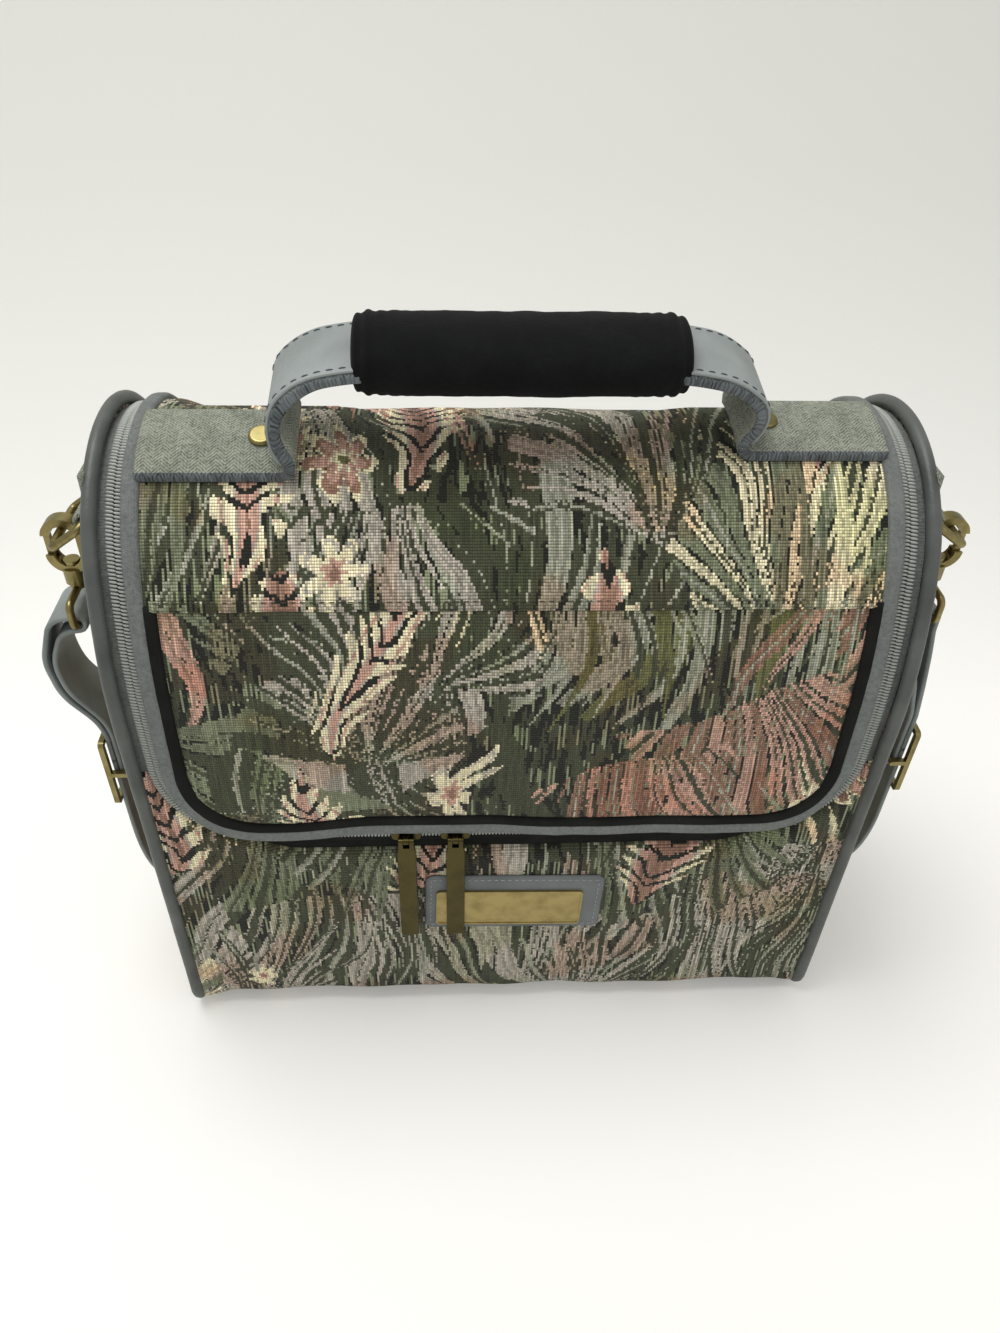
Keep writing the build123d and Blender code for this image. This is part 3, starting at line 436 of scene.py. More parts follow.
def webbingMaterial(name, base, dark, pitch, twill=True):
    # narrow woven band: slanted ribs in two directions, as herringbone
    material, tree, shader = startMaterial(name, base, 0.9)
    x, y, unused = split(tree, clothPlace(tree))
    if twill:
        zigzag = mathStep(tree, "PINGPONG", x, pitch * 2.2)
        ribs = threadWave(tree, mathStep(tree, "ADD", y, zigzag), pitch)
    else:
        ribs = threadWave(tree, y, pitch)
    cross = threadWave(tree, x, pitch * 0.8)
    height = mathStep(tree, "MULTIPLY_ADD", cross, 0.5, ribs)
    fuzz, unused = noiseStep(tree, clothPlace(tree), 0.55, 4.0, 0.75)
    worn, unused = noiseStep(tree, clothPlace(tree), 0.09, 2.0)
    tone = mathStep(tree, "MULTIPLY_ADD", height, 0.16, mathStep(tree, "MULTIPLY_ADD", worn, 0.4, fuzz))
    shown = blendColours(tree, between(tree, tone, 0.62, 1.02), dark, base)
    feed(tree, shader.inputs["Base Color"], shown)
    addBump(tree, shader, mathStep(tree, "MULTIPLY_ADD", fuzz, 1.6, height), 0.0005, 0.9)
    shader.inputs["Sheen Weight"].default_value = 0.1
    return material


def napMaterial(name, base, light, scale, bump):
    # brushed cloth: short nap with rubbed patches
    material, tree, shader = startMaterial(name, base, 0.95)
    place = objectPlace(tree)
    rub, unused = noiseStep(tree, place, 0.06, 3.0, 0.6)
    nap, unused = noiseStep(tree, place, scale, 3.0, 0.7)
    tone = mathStep(tree, "MULTIPLY", between(tree, rub, 0.42, 0.75), between(tree, nap, 0.3, 0.75))
    feed(tree, shader.inputs["Base Color"], blendColours(tree, tone, base, light))
    addBump(tree, shader, nap, bump, 0.7)
    shader.inputs["Sheen Weight"].default_value = 0.02
    shader.inputs["Specular IOR Level"].default_value = 0.2
    return material


def metalMaterial(name, base, dark, roughness, tarnish=0.5):
    # worn plated metal: tarnish in patches and fine scratches
    material, tree, shader = startMaterial(name, base, roughness, 1.0)
    place = objectPlace(tree)
    patches, unused = noiseStep(tree, place, 0.11, 4.0, 0.62)
    shown = blendColours(tree, mathStep(tree, "MULTIPLY", between(tree, patches, 0.42, 0.68), tarnish), base, dark)
    feed(tree, shader.inputs["Base Color"], shown)
    scratched = vectorStep(tree, "MULTIPLY", place, (1.0, 1.0, 0.08))
    scratch, unused = noiseStep(tree, scratched, 3.2, 2.0)
    feed(tree, shader.inputs["Roughness"], mathStep(tree, "MULTIPLY_ADD", patches, 0.25, roughness - 0.08))
    addBump(tree, shader, scratch, 0.00003, 0.4)
    return material


def plainMaterial(name, base, roughness):
    material, tree, shader = startMaterial(name, base, roughness)
    fine, unused = noiseStep(tree, objectPlace(tree), 0.8, 2.0)
    feed(tree, shader.inputs["Base Color"], blendColours(
        tree, mathStep(tree, "MULTIPLY", fine, 0.25), base, colour(20, 20, 20)))
    addBump(tree, shader, fine, 0.0001, 0.4)
    return material


finish = {
    "tapestry": tapestryMaterial(),
    "piping": vinylMaterial("pipingVinyl", colour(92, 95, 91), colour(70, 73, 69), 0.42),
    "greyVinyl": vinylMaterial("greyVinyl", colour(112, 117, 117), colour(92, 97, 97), 0.5),
    "handleVinyl": vinylMaterial("handleVinyl", colour(146, 152, 150), colour(128, 134, 132), 0.5),
    "strapVinyl": vinylMaterial("strapVinyl", colour(142, 149, 146), colour(118, 125, 122), 0.5),
    "zipTape": webbingMaterial("zipTape", colour(150, 155, 148), colour(108, 112, 107), 0.55, twill=False),
    "edging": webbingMaterial("edgingTape", colour(148, 153, 148), colour(112, 116, 112), 0.7),
    "teeth": plainMaterial("nylonTeeth", colour(176, 180, 172), 0.4),
    "binding": napMaterial("blackBinding", colour(19, 20, 18), colour(42, 43, 40), 1.4, 0.0002),
    "webbing": webbingMaterial("oliveWebbing", colour(168, 172, 154), colour(96, 102, 90), 1.5),
    "webbingEdge": webbingMaterial("webbingEdge", colour(116, 124, 125), colour(34, 39, 41), 1.4),
    "grip": napMaterial("gripNap", colour(9, 11, 10), colour(24, 26, 25), 0.9, 0.0004),
    "brass": metalMaterial("agedBrass", colour(150, 138, 92), colour(84, 76, 46), 0.3),
    # darker copy of the brass for the sliders and pulls: painted shade for the dark surroundings their polished
    # faces mirror
    "shadedPullBrass": metalMaterial("shadedPullBrass", colour(84, 76, 44), colour(52, 47, 27), 0.2, 0.35),
    "plateBrass": metalMaterial("plateBrass", colour(176, 158, 104), colour(132, 116, 72), 0.32, 0.6),
    "thread": plainMaterial("lightThread", colour(168, 172, 168), 0.8),
    "darkThread": plainMaterial("darkThread", colour(74, 80, 84), 0.8),
    "hemThread": plainMaterial("hemThread", colour(58, 60, 44), 0.85),
    "lining": napMaterial("liningCloth", colour(92, 95, 92), colour(112, 115, 112), 0.8, 0.0001),
    "board": plainMaterial("boardPlastic", colour(60, 62, 60), 0.7),
}
print("materials made")


# Mesh helpers; points come in millimetres
def makePiece(name, points, faces, look, body, nodes=(), uvs=None, smooth=True):
    mesh = bpy.data.meshes.new(name)
    mesh.from_pydata([Vector(p) * mm for p in points], [], faces)
    mesh.validate()
    if uvs:
        layer = mesh.uv_layers.new(name="cloth")
        for loop in mesh.loops:
            u, v = uvs[loop.vertex_index]
            layer.data[loop.index].uv = (u / 100, v / 100)
    for polygon in mesh.polygons:
        polygon.use_smooth = smooth
    mesh.materials.append(finish[look])
    piece = bpy.data.objects.new(name, mesh)
    bpy.context.scene.collection.objects.link(piece)
    if body:
        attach(piece, body)
    if nodes:
        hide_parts(*nodes)
    return piece


def gridFaces(rows, columns, start=0, closeRows=False, closeColumns=False):
    faces = []
    for i in range(rows if closeRows else rows - 1):
        for j in range(columns if closeColumns else columns - 1):
            a, b = start + i * columns, start + (i + 1) % rows * columns
            k = (j + 1) % columns
            faces.append((a + j, a + k, b + k, b + j))
    return faces


def tubeFaces(rows):
    # faces along closed rings, with a cap on each end
    count = len(rows[0])
    faces = gridFaces(len(rows), count, 0, False, True)
    return faces + [tuple(range(count)), tuple(range((len(rows) - 1) * count, len(rows) * count))]


def lengthsAlong(rows):
    # distance travelled from row to row, for places on the cloth
    lengths = [0.0]
    for before, after in zip(rows, rows[1:]):
        lengths.append(lengths[-1] + (after[0] - before[0]).length)
    return lengths


def gridPiece(name, rows, look, body, nodes=(), uvs=None, closeRows=False, closeColumns=False):
    points = [p for row in rows for p in row]
    faces = gridFaces(len(rows), len(rows[0]), 0, closeRows, closeColumns)
    flat = [p for row in uvs for p in row] if uvs else None
    return makePiece(name, points, faces, look, body, nodes, flat)


def bandSection(halfWidth, halfThickness, roundness=0.8, count=4):
    # flat band with rounded edges, anticlockwise
    section = []
    rounding = halfThickness * roundness
    corners = [(1, -1, -90), (1, 1, 0), (-1, 1, 90), (-1, -1, 180)]
    for sideA, sideB, begin in corners:
        for i in range(count):
            turn = math.radians(begin + 90 * i / (count - 1))
            section.append((
                sideA * (halfWidth - rounding) + rounding * math.cos(turn),
                sideB * (halfThickness - rounding) + rounding * math.sin(turn),
            ))
    return section


def sweptPiece(name, frames, section, look, body, nodes=()):
    # a section carried along frames of (origin, first axis, second axis)
    rows = [[origin + a * first + b * second for a, b in section] for origin, first, second in frames]
    around = [0.0]
    for before, after in zip(section, section[1:]):
        around.append(around[-1] + math.dist(before, after))
    uvs = [(w, v) for v in lengthsAlong(frames) for w in around]
    points = [p for row in rows for p in row]
    piece = makePiece(name, points, tubeFaces(rows), look, body, nodes, uvs)
    mend(piece)
    return piece


def stitchRow(name, places, look, body, length=2.6, gap=1.3, radius=0.28):
    # short raised stitches along (point, direction out of the cloth)
    points, faces, dense, nextStart = [], [], [], 0.0
    for (a, outA), (b, outB) in zip(places, places[1:]):
        pieces = max(int((b - a).length / 0.4), 1)
        dense += [(a.lerp(b, i / pieces), outA.lerp(outB, i / pieces)) for i in range(pieces)]
    dense.append(places[-1])
    run = [0.0]
    for before, after in zip(dense, dense[1:]):
        run.append(run[-1] + (after[0] - before[0]).length)

    def at(distance):
        for i, far in enumerate(run[1:], 1):
            if far >= distance:
                part = (distance - run[i - 1]) / max(far - run[i - 1], 1e-6)
                return dense[i - 1][0].lerp(dense[i][0], part), dense[i][1].normalized()
        return dense[-1][0], dense[-1][1].normalized()

    shape = [(0.0, 0.15, -0.6), (0.15, 0.85, 0.25), (0.5, 1.0, 0.55), (0.85, 0.85, 0.25), (1.0, 0.15, -0.6)]
    while nextStart + length < run[-1]:
        begin = len(points)
        first, unused = at(nextStart)
        last, unused = at(nextStart + length)
        along = (last - first).normalized()
        for share, size, lift in shape:
            middle, out = at(nextStart + share * length)
            side = along.cross(out).normalized()
            for k in range(6):
                turn = 2 * math.pi * k / 6
                points.append(middle + out * (radius * lift + radius * size * math.sin(turn))
                              + side * radius * size * math.cos(turn))
        faces += gridFaces(len(shape), 6, begin, False, True)
        faces.append(tuple(begin + k for k in reversed(range(6))))
        faces.append(tuple(begin + (len(shape) - 1) * 6 + k for k in range(6)))
        nextStart += length + gap
    return makePiece(name, points, faces, look, body)


def clothPiece(name, rows, thickness, look, body, nodes=(), rim=0.5):
    # panel from rows of (point, outward normal, place on the cloth), with an inner layer and rounded rims
    points, uvs = [], []

    def addRing(row, thin=False, push=Vector((0, 0, 0))):
        sides = []
        for (point, normal, uv), beside in ((row[-1], row[-2]), (row[0], row[1])):
            deep = thickness(uv) if callable(thickness) else thickness
            away = (point - beside[0]).normalized() * deep * rim
            sides.append((point - normal * deep / 2 + away + push, uv))
        outer, inner = [], []
        for point, normal, uv in row:
            deep = thickness(uv) if callable(thickness) else thickness
            middle = point - normal * deep / 2 + push
            outer.append((middle if thin else point, uv))
            inner.append((middle if thin else point - normal * deep, uv))
        ring = outer + [sides[0]] + inner[::-1] + [sides[1]]
        points.extend(p for p, uv in ring)
        uvs.extend(uv for p, uv in ring)
        return len(ring)

    def endPush(row, nextRow):
        middle = len(row) // 2
        uv = row[middle][2]
        deep = thickness(uv) if callable(thickness) else thickness
        return (row[middle][0] - nextRow[middle][0]).normalized() * deep * rim

    addRing(rows[0], True, endPush(rows[0], rows[1]))
    for row in rows:
        count = addRing(row)
    addRing(rows[-1], True, endPush(rows[-1], rows[-2]))
    piece = makePiece(name, points, gridFaces(len(rows) + 2, count, 0, False, True), look, body, nodes, uvs)
    mend(piece)
    return piece


def mend(piece):
    shape = bmesh.new()
    shape.from_mesh(piece.data)
    bmesh.ops.remove_doubles(shape, verts=shape.verts, dist=0.00002)
    bmesh.ops.recalc_face_normals(shape, faces=shape.faces)
    shape.to_mesh(piece.data)
    shape.free()


# Looseness of the cloth, out from the board behind it; calm at the seams and under the name patch
slack = {"front": 1.5, "back": 1.2, "dome": 1.1, "pocket": 1.9, "ends": 0.9, "waveLength": 62.0, "seam": 20.0}
patch = {
    "x": 3.0, "z": 84.0, "width": 84.0, "height": 38.0, "tilt": -1.5, "thickness": 1.2,
    "corner": 2.5, "stitchIn": 2.2, "calm": 12.0,
}
lip = {"out": 3.8, "top": 205.0, "pulls": 0.7}


def calm(*distances):
    value = 1.0
    for distance in distances:
        value *= smoothStep(distance / slack["seam"])
    return value


def loose(x, run, amount, seed, *distances):
    wave = slack["waveLength"]
    value = ripple(x, run, wave, seed) + 0.45 * ripple(x, run, wave * 0.42, seed + 7)
    return amount * (0.35 + 0.9 * value) * calm(*distances)


def lowEdge(x, offset):
    # height of the zip's curve under a place on the front, moved in from the zip
    low = zipLine["height"] + offset
    corner = zipLine["corner"] - offset
    over = abs(x) - (zipLine["side"] - zipLine["corner"])
    if over <= 0:
        return low
    return low + corner - math.sqrt(max(corner**2 - over**2, 0.0))


def zipWave(x):
    # the zip's lower run rises and dips a little away from the sliders
    clear = smoothStep((abs(x + 36) - 18) / 22) * smoothStep((118 - abs(x)) / 30)
    return 1.1 * ripple(x, 3.0, 34.0, 2.2) * clear


def lidLip(x, z):
    # the lid's lower edge stands out a little from the wall, less over the sliders so that the pulls can rise
    free = 1 - lip["pulls"] * smoothStep((60 - abs(x + 36)) / 40)
    fade = smoothStep((lip["top"] - z) / 60) * smoothStep((152 - abs(x)) / 30)
    return free * lip["out"] * (1 + 0.35 * ripple(x, 1.0, 40.0, 8.0)) * fade


def zipSamples(step, frontTop=None):
    # (x, run, inward x, inward run) along the zip from the left over the front to the right
    cornerX = zipLine["side"] - zipLine["corner"]
    cornerAt = -runAt(zipLine["height"] + zipLine["corner"])
    start = -runAt(frontTop) if frontTop else runAt(bag["hinge"] + 0.5)
    left = []
    count = max(int((start - cornerAt) / step), 2)
    left += [(-zipLine["side"], start + (cornerAt - start) * i / count, 1.0, 0.0) for i in range(count)]
    count = int(zipLine["corner"] * math.pi / 2 / step)
    for i in range(count):
        turn = math.pi + math.pi / 2 * i / count
        across, up = math.cos(turn), math.sin(turn)
        left.append((-cornerX + zipLine["corner"] * across, cornerAt + zipLine["corner"] * up, -across, -up))
    count = int(cornerX / step)
    low = cornerAt - zipLine["corner"]
    left += [(-cornerX * (1 - i / count), low, 0.0, 1.0) for i in range(count)]
    return left + [(0.0, low, 0.0, 1.0)] + [(-x, run, -inX, inRun) for x, run, inX, inRun in reversed(left)]


def zipPoint(sample, offset, inset):
    x, run, inX, inRun = sample
    return wallPoint(x + inX * offset, run + inRun * offset + zipWave(x) * max(inRun, 0.0), inset)


def zipFrames(samples, offset, inset, lipShare=0.0):
    frames = []
    for sample in samples:
        origin = zipPoint(sample, offset, inset)
        if sample[1] < 0:
            origin.y -= lipShare * lidLip(origin.x, origin.z)
        inward = (zipPoint(sample, offset + 0.5, inset) - zipPoint(sample, offset - 0.5, inset)).normalized()
        normal = wallFrame(sample[1] + sample[3] * offset)[1]
        frames.append((origin, inward, normal))
    return frames


def columnsAcross(half, step):
    # places across the bag, closer together towards the seams
    count = int(2 * half / step) | 1
    return [half * math.sin(math.pi / 2 * t * 0.9) / math.sin(math.pi / 2 * 0.9) for t in spread(-1, 1, count)]


# Piping round both ends
piping = {"radius": 2.9, "path": 3.3, "out": 0.35, "step": 4.0, "wander": 0.3}
for side, sign in (("Left", -1), ("Right", 1)):
    lift = piping["path"] + bag["faceInset"]
    half = cornerRun - lift + bag["halfDepth"] - bag["baseCorner"]
    rows = []
    for run in spread(-half, half, int(2 * half / piping["step"]))[:-1]:
        middle, normal = wallFrame(run, lift)
        wander = piping["wander"] * ripple(run, 5.0, 45.0, sign)
        crease = 1 + 0.035 * noise.noise(Vector((run / 3.5, sign, 0))) * (1.6 if abs(run) > wallRun - 12 else 0.7)
        origin = Vector((sign * (bag["halfWidth"] + piping["out"] + wander), middle.y, middle.z))
        rows.append([
            origin + piping["radius"] * crease * (math.cos(t) * normal + Vector((math.sin(t), 0, 0)))
            for t in spread(0, 2 * math.pi, 17)[:-1]
        ])
    piece = gridPiece("piping" + side, rows, "piping", "case", ["piping_" + side.lower()], None, True, True)
    mend(piece)
print("piping made")

# Walls of the case
wall = {"half": 157.2, "step": 5.0, "rows": 52, "lowerWave": 1.8, "footLift": 5.2}


def frontTopZ(x):
    return min(lowEdge(x, -3.25 - zipLine["mouth"] * smoothStep((125 - abs(x)) / 30)), 173.0)


rows = []
columns = columnsAcross(wall["half"], wall["step"])
for share in spread(0, 1, wall["rows"]):
    row = []
    for x in columns:
        top = runAt(frontTopZ(x)) + (zipWave(x) * -1 if abs(x) < 108 else 0)
        run = top + (seamRun - top) * share
        point, normal = wallFrame(-run)
        z = bag["shoulder"] - (run - sideRun)
        clearPatch = max(abs(x - patch["x"]) - patch["width"] / 2, abs(z - patch["z"]) - patch["height"] / 2, 0)
        out = loose(x, run, slack["front"], 1.0, wall["half"] - abs(x), run - top + 6, seamRun - run)
        out *= smoothStep(clearPatch / patch["calm"])
        under = smoothStep((run - wallRun + 22) / 22)
        out += under * (wall["lowerWave"] * ripple(x, 9.0, 30.0, 4.0) - 0.5) * calm(wall["half"] - abs(x))
        edge = max(0.0, 1 - (run - top) / 6.0)
        point = point + normal * (out - bag["faceInset"] - 2.6 * edge**2)
        foot = smoothStep((run - wallRun + 8) / 22) * (1 - smoothStep((run - cornerRun) / 8))
        foot *= calm(wall["half"] - abs(x))
        point.z += foot * (wall["footLift"] + 1.2 * ripple(x, 4.0, 45.0, 6.0))
        point.x = x
        row.append((point, normal, (x, -run)))
    rows.append(row)
clothPiece("frontPanel", rows, bag["panel"], "tapestry", "case", ["front_panel"])

rows = []
for run in spread(runAt(bag["hinge"] - bag["gap"]), seamRun, wall["rows"] + 10):
    row = []
    for x in columns:
        point, normal = wallFrame(run)
        out = loose(x, run, slack["back"], 11.0, wall["half"] - abs(x), run - sideRun + 6, seamRun - run)
        point = point + normal * (out - bag["faceInset"])
        point.x = x
        row.append((point, normal, (x, run + 900)))
    rows.append(row)
clothPiece("backPanel", rows, bag["panel"], "tapestry", "case", ["back_panel"])

rows = []
for y in spread(-bag["seamY"], bag["seamY"], 22):
    lifted = 0.4 * calm(50.0 - abs(y))
    rows.append([
        (Vector((x, y, lifted + 0.3 * abs(ripple(x, y, 40.0, 3.0)))), Vector((0, 0, -1)), (x, y)) for x in columns
    ])
clothPiece("bottomPanel", rows, 2.0, "greyVinyl", "case", ["bottom_panel"])
print("walls made")


# End panels, domed a little between the piping
endPanel = {"rings": 16, "spineLow": 66.0, "spineTop": 236.0, "edge": 7.0, "tabY": -26.0, "tabZ": 282.0}


def spineHeight(z):
    return min(max(z, endPanel["spineLow"]), endPanel["spineTop"])


def archDisc(inset, lift, rings, columns=150):
    # rows from the seam to the middle of the end, as (y, z, share)
    half = cornerRun - lift + bag["halfDepth"] - bag["baseCorner"]
    outline = []
    for run in spread(-half, half, columns)[:-1]:
        middle, normal = wallFrame(run, lift)
        outline.append(middle - normal * inset)
    rows = []
    for share in spread(0, 1, rings):
        share = share**1.35
        rows.append([
            (p.y * (1 - share), p.z + (spineHeight(p.z) - p.z) * share, share) for p in outline
        ])
    return rows


for side, sign in (("Left", -1), ("Right", 1)):
    disc = archDisc(1.0, 3.7, endPanel["rings"])
    points, uvs = [], []
    for layer in (0, 1):
        for row in disc if layer == 0 else disc[::-1]:
            for y, z, share in row:
                inner = min(share * 60 / endPanel["edge"], 1.0)
                x = bag["halfWidth"] + bag["endOutset"] - 1.4 * (1 - smoothStep(inner))
                tabNear = smoothStep((math.dist((y, z), (endPanel["tabY"], endPanel["tabZ"])) - 14) / 18)
                puff = slack["ends"] * (0.3 + ripple(y, z, 55.0, 21.0 + sign)) * smoothStep(share * 3) * tabNear
                x = x + puff if layer == 0 else bag["halfWidth"] - 1.0
                points.append(Vector((sign * x, y, z)))
                uvs.append((y * sign + 500, z + 260 * sign))
    faces = gridFaces(2 * len(disc), len(disc[0]), 0, True, True)
    piece = makePiece("endPanel" + side, points, faces, "tapestry", "case", ["end_panel_" + side.lower()], uvs)
    mend(piece)

# Lining of the case
lining = {"inset": 3.9, "thickness": 0.7, "floor": 5.3}
rows = []
for share in spread(0, 1, 70):
    row = []
    for x in columnsAcross(156.6, 9.0):
        top = runAt(min(lowEdge(x, -6.0), 174.0))
        lengths = [seamRun - top + 50, seamRun - runAt(194.0) + 50]
        place = share * sum(lengths)
        run = -(top + place) if place < lengths[0] else (runAt(194.0) + sum(lengths) - place)
        if abs(run) < seamRun:
            point, normal = wallFrame(run, lining["floor"] - lining["inset"] + bag["faceInset"])
        else:
            y = seamRun + 50 - abs(run)
            point = Vector((0, math.copysign(y, run), lining["floor"] - lining["inset"]))
            normal = Vector((0, 0, -1))
        point = point - normal * lining["inset"]
        point.x = x
        row.append((point, normal, (x, run)))
    rows.append(row)
clothPiece("caseLining", rows, lining["thickness"], "lining", "case", ["case_lining"])
for side, sign in (("Left", -1), ("Right", 1)):
    disc = archDisc(4.2, 5.0, 5, 90)
    points = []
    for x, layer in ((156.9, disc), (156.2, disc[::-1])):
        points += [Vector((sign * x, y, z)) for row in layer for y, z, share in row]
    faces = gridFaces(2 * len(disc), len(disc[0]), 0, True, True)
    piece = makePiece("caseLining" + side, points, faces, "lining", "case", ["case_lining"], None)
    mend(piece)
print("ends and lining made")

# Zip: tapes, teeth and the edging sewn round the lid
zipLook = {
    "tapeInset": 3.4, "tapeCase": -3.6, "tapeCaseHalf": 2.95, "tapeLid": 4.4, "tapeLidHalf": 3.8,
    # the next three keys place the black strip of painted shade behind the front's top edge under the zip
    "shadeStripOffset": -10.0, "shadeStripHalf": 4.4, "shadeStripInset": 4.3,
    "toothInset": 2.1, "toothOverlap": 0.3, "toothPitch": 1.5,
    "toothHalfLength": 1.4375, "toothHalf": 0.62, "toothHeight": 0.85,
    "edgingHalf": 3.3, "edgingHigh": 2.6, "edgingInset": 0.75,
}
samples = zipSamples(3.0)
tapeCase = sweptPiece(
    "zipTapeCase", zipFrames(samples, zipLook["tapeCase"], zipLook["tapeInset"]),
    bandSection(zipLook["tapeCaseHalf"], 0.4), "zipTape", "case", ["zip_tape_case"])
# the case tape's faces on the front below the zip's height plus 7 mm take the black binding finish: painted shade
# for the dark gap under the lid's edge
tapeCase.data.materials.append(finish["binding"])
for face in tapeCase.data.polygons:
    if face.center.z < (zipLine["height"] + 7) * mm and face.center.y < 0:
        face.material_index = 1
# A black strip set deep behind the front panel's top edge, which dips in the middle, along the zip's lower run:
# painted shade filling the dark gap under the lid's edge
lowerRun = [sample for sample in samples if sample[3] > 0.5]
sweptPiece(
    "mouthShadeStrip", zipFrames(lowerRun, zipLook["shadeStripOffset"], zipLook["shadeStripInset"]),
    bandSection(zipLook["shadeStripHalf"], 0.5), "binding", "case", [])
sweptPiece(
    "zipTapeLid", zipFrames(samples, zipLook["tapeLid"], zipLook["tapeInset"]),
    bandSection(zipLook["tapeLidHalf"], 0.4), "zipTape", "lid", ["zip_tape_lid"])

for name, sign, body in (("zipTeethCase", -1, "case"), ("zipTeethLid", 1, "lid")):
    points, faces = [], []
    offset = sign * (zipLine["halfGap"] + zipLine["teeth"] / 2 - zipLook["toothOverlap"])
    frames = zipFrames(zipSamples(zipLook["toothPitch"]), offset, zipLook["toothInset"])
    for origin, inward, normal in frames:
        along = inward.cross(normal)
        origin = origin + along * sign * zipLook["toothPitch"] / 4
        begin = len(points)
        for share, size in ((-1.0, 0.55), (-0.6, 1.0), (0.6, 1.0), (1.0, 0.55)):
            for k in range(6):
                turn = 2 * math.pi * k / 6
                points.append(
                    origin + inward * share * zipLook["toothHalfLength"]
                    + along * (size * zipLook["toothHalf"] * math.cos(turn) + share * 0.22)
                    + normal * size * zipLook["toothHeight"] * math.sin(turn))
        faces += gridFaces(4, 6, begin, False, True)
        faces.append(tuple(begin + k for k in range(6)))
        faces.append(tuple(begin + 18 + k for k in reversed(range(6))))
    makePiece(name, points, faces, "teeth", body, ["zip_coil_" + body], None)

frames = zipFrames(zipSamples(2.6)[1:-1], lid["edging"] + 0.7, zipLook["edgingInset"], 1.0)
edging = []
for i, (origin, inward, normal) in enumerate(frames):
    pucker = normal * 0.25 * noise.noise(Vector((i / 3.0, 0, 4)))
    drift = inward * 0.3 * noise.noise(Vector((i / 9.0, 2, 4)))
    edging.append((origin + pucker + drift, inward, normal))
sweptPiece("lidEdging", edging, bandSection(zipLook["edgingHalf"], zipLook["edgingHigh"], 0.75, 5), "edging", "lid",
           ["lid_edging"])
print("zip made")

# Lid: dome panel with its hem over the pocket, pocket panel, binding, backing and lining
dome = {
    "half": 144.6, "step": 5.0, "rows": 64, "handleClear": 30.0, "sag": 3.8,
    "hemOut": 2.5, "hemRun": 17.0, "stitchHalf": 137,
}


def domeSag(x, run):
    # the dome sinks behind the handle's feet and between them
    behind = smoothStep((run - 7) / 14) * smoothStep((138 - abs(x)) / 14)
    middle = smoothStep((74 - abs(x)) / 20)
    return dome["sag"] * max(behind, middle) * (1 - smoothStep((abs(run) - 38) / 50))


rows = []
backRun = runAt(bag["hinge"] + bag["gap"])
hemRun = -runAt(lid["fold"] + 0.6)
for run in spread(backRun, hemRun, dome["rows"]):
    row = []
    for x in columnsAcross(dome["half"], dome["step"]):
        point, normal = wallFrame(run)
        clearFoot = max(abs(abs(x) - 117) - 25, abs(run + 10) - 20, 0)
        toHem = run - hemRun
        out = loose(x, run, slack["dome"], 31.0, dome["half"] - abs(x), backRun - run + 8)
        out *= smoothStep(clearFoot / dome["handleClear"])
        out += dome["hemOut"] * smoothStep(1 - toHem / dome["hemRun"]) * smoothStep((dome["half"] - abs(x)) / 9)
        out -= domeSag(x, run)
        out += 0.5 * ripple(x, 2.0, 26.0, 33.0) * smoothStep(1 - toHem / 10)
        point = point + normal * (out - bag["faceInset"])
        point.x = x
        row.append((point, normal, (x, run)))
    rows.append(row)
clothPiece("domePanel", rows, lambda uv: 1.5 if uv[1] < hemRun + 12 else 2.4, "tapestry", "lid",
           ["lid_panel"])

places = []
for x in spread(-dome["stitchHalf"], dome["stitchHalf"], 60):
    point, normal = wallFrame(hemRun + 3.2)
    out = dome["hemOut"] - bag["faceInset"] + 0.25 * ripple(x, 1.0, 30.0, 2.0)
    places.append((Vector((x, point.y, point.z)) + normal * out, normal))
stitchRow("hemStitch", places, "hemThread", "lid", 2.4, 1.2, 0.26)

pocket = {"offset": 11.6, "top": 255.0, "rows": 44, "out": 1.0}
pocketHalf = zipLine["side"] - pocket["offset"]
rows = []
for share in spread(0, 1, pocket["rows"]):
    row = []
    for x in columnsAcross(pocketHalf, 5.0):
        bottom = lowEdge(x, pocket["offset"]) - zipWave(x)
        z = pocket["top"] + (bottom - pocket["top"]) * share
        point, normal = wallFrame(-runAt(z))
        edge = min(pocketHalf - abs(x), z - bottom)
        toMouth = pocket["top"] - z
        out = pocket["out"] * smoothStep(edge / 6) - 0.6 * (1 - smoothStep(edge / 5))
        out += loose(x, z, slack["pocket"], 41.0, edge, toMouth + 12) * (0.5 + 0.5 * smoothStep(toMouth / 12))
        out += 0.9 * smoothStep(edge / 45) * smoothStep(toMouth / 30) + lidLip(x, z)
        point = point + normal * out
        point.x = x
        row.append((point, normal, (x + 420, -runAt(z))))
    rows.append(row)
clothPiece("pocketPanel", rows, 1.6, "tapestry", "lid", ["pocket_panel"])

binding = {"offset": 11.0, "half": 2.7, "high": 1.3, "cornerExtra": 2.2}
frontSamples = zipSamples(3.0, 254.0)
rows, frames = [], zipFrames(frontSamples, binding["offset"], -0.1, 1.0)
for sample, (origin, inward, normal) in zip(frontSamples, frames):
    wide = binding["half"] + binding["cornerExtra"] * abs(sample[2] * sample[3])
    rows.append([origin + a * inward + b * normal for a, b in bandSection(wide, binding["high"], 0.9, 4)])
points = [p for row in rows for p in row]
mend(makePiece("pocketBinding", points, tubeFaces(rows), "binding", "lid", ["pocket_binding"], None))


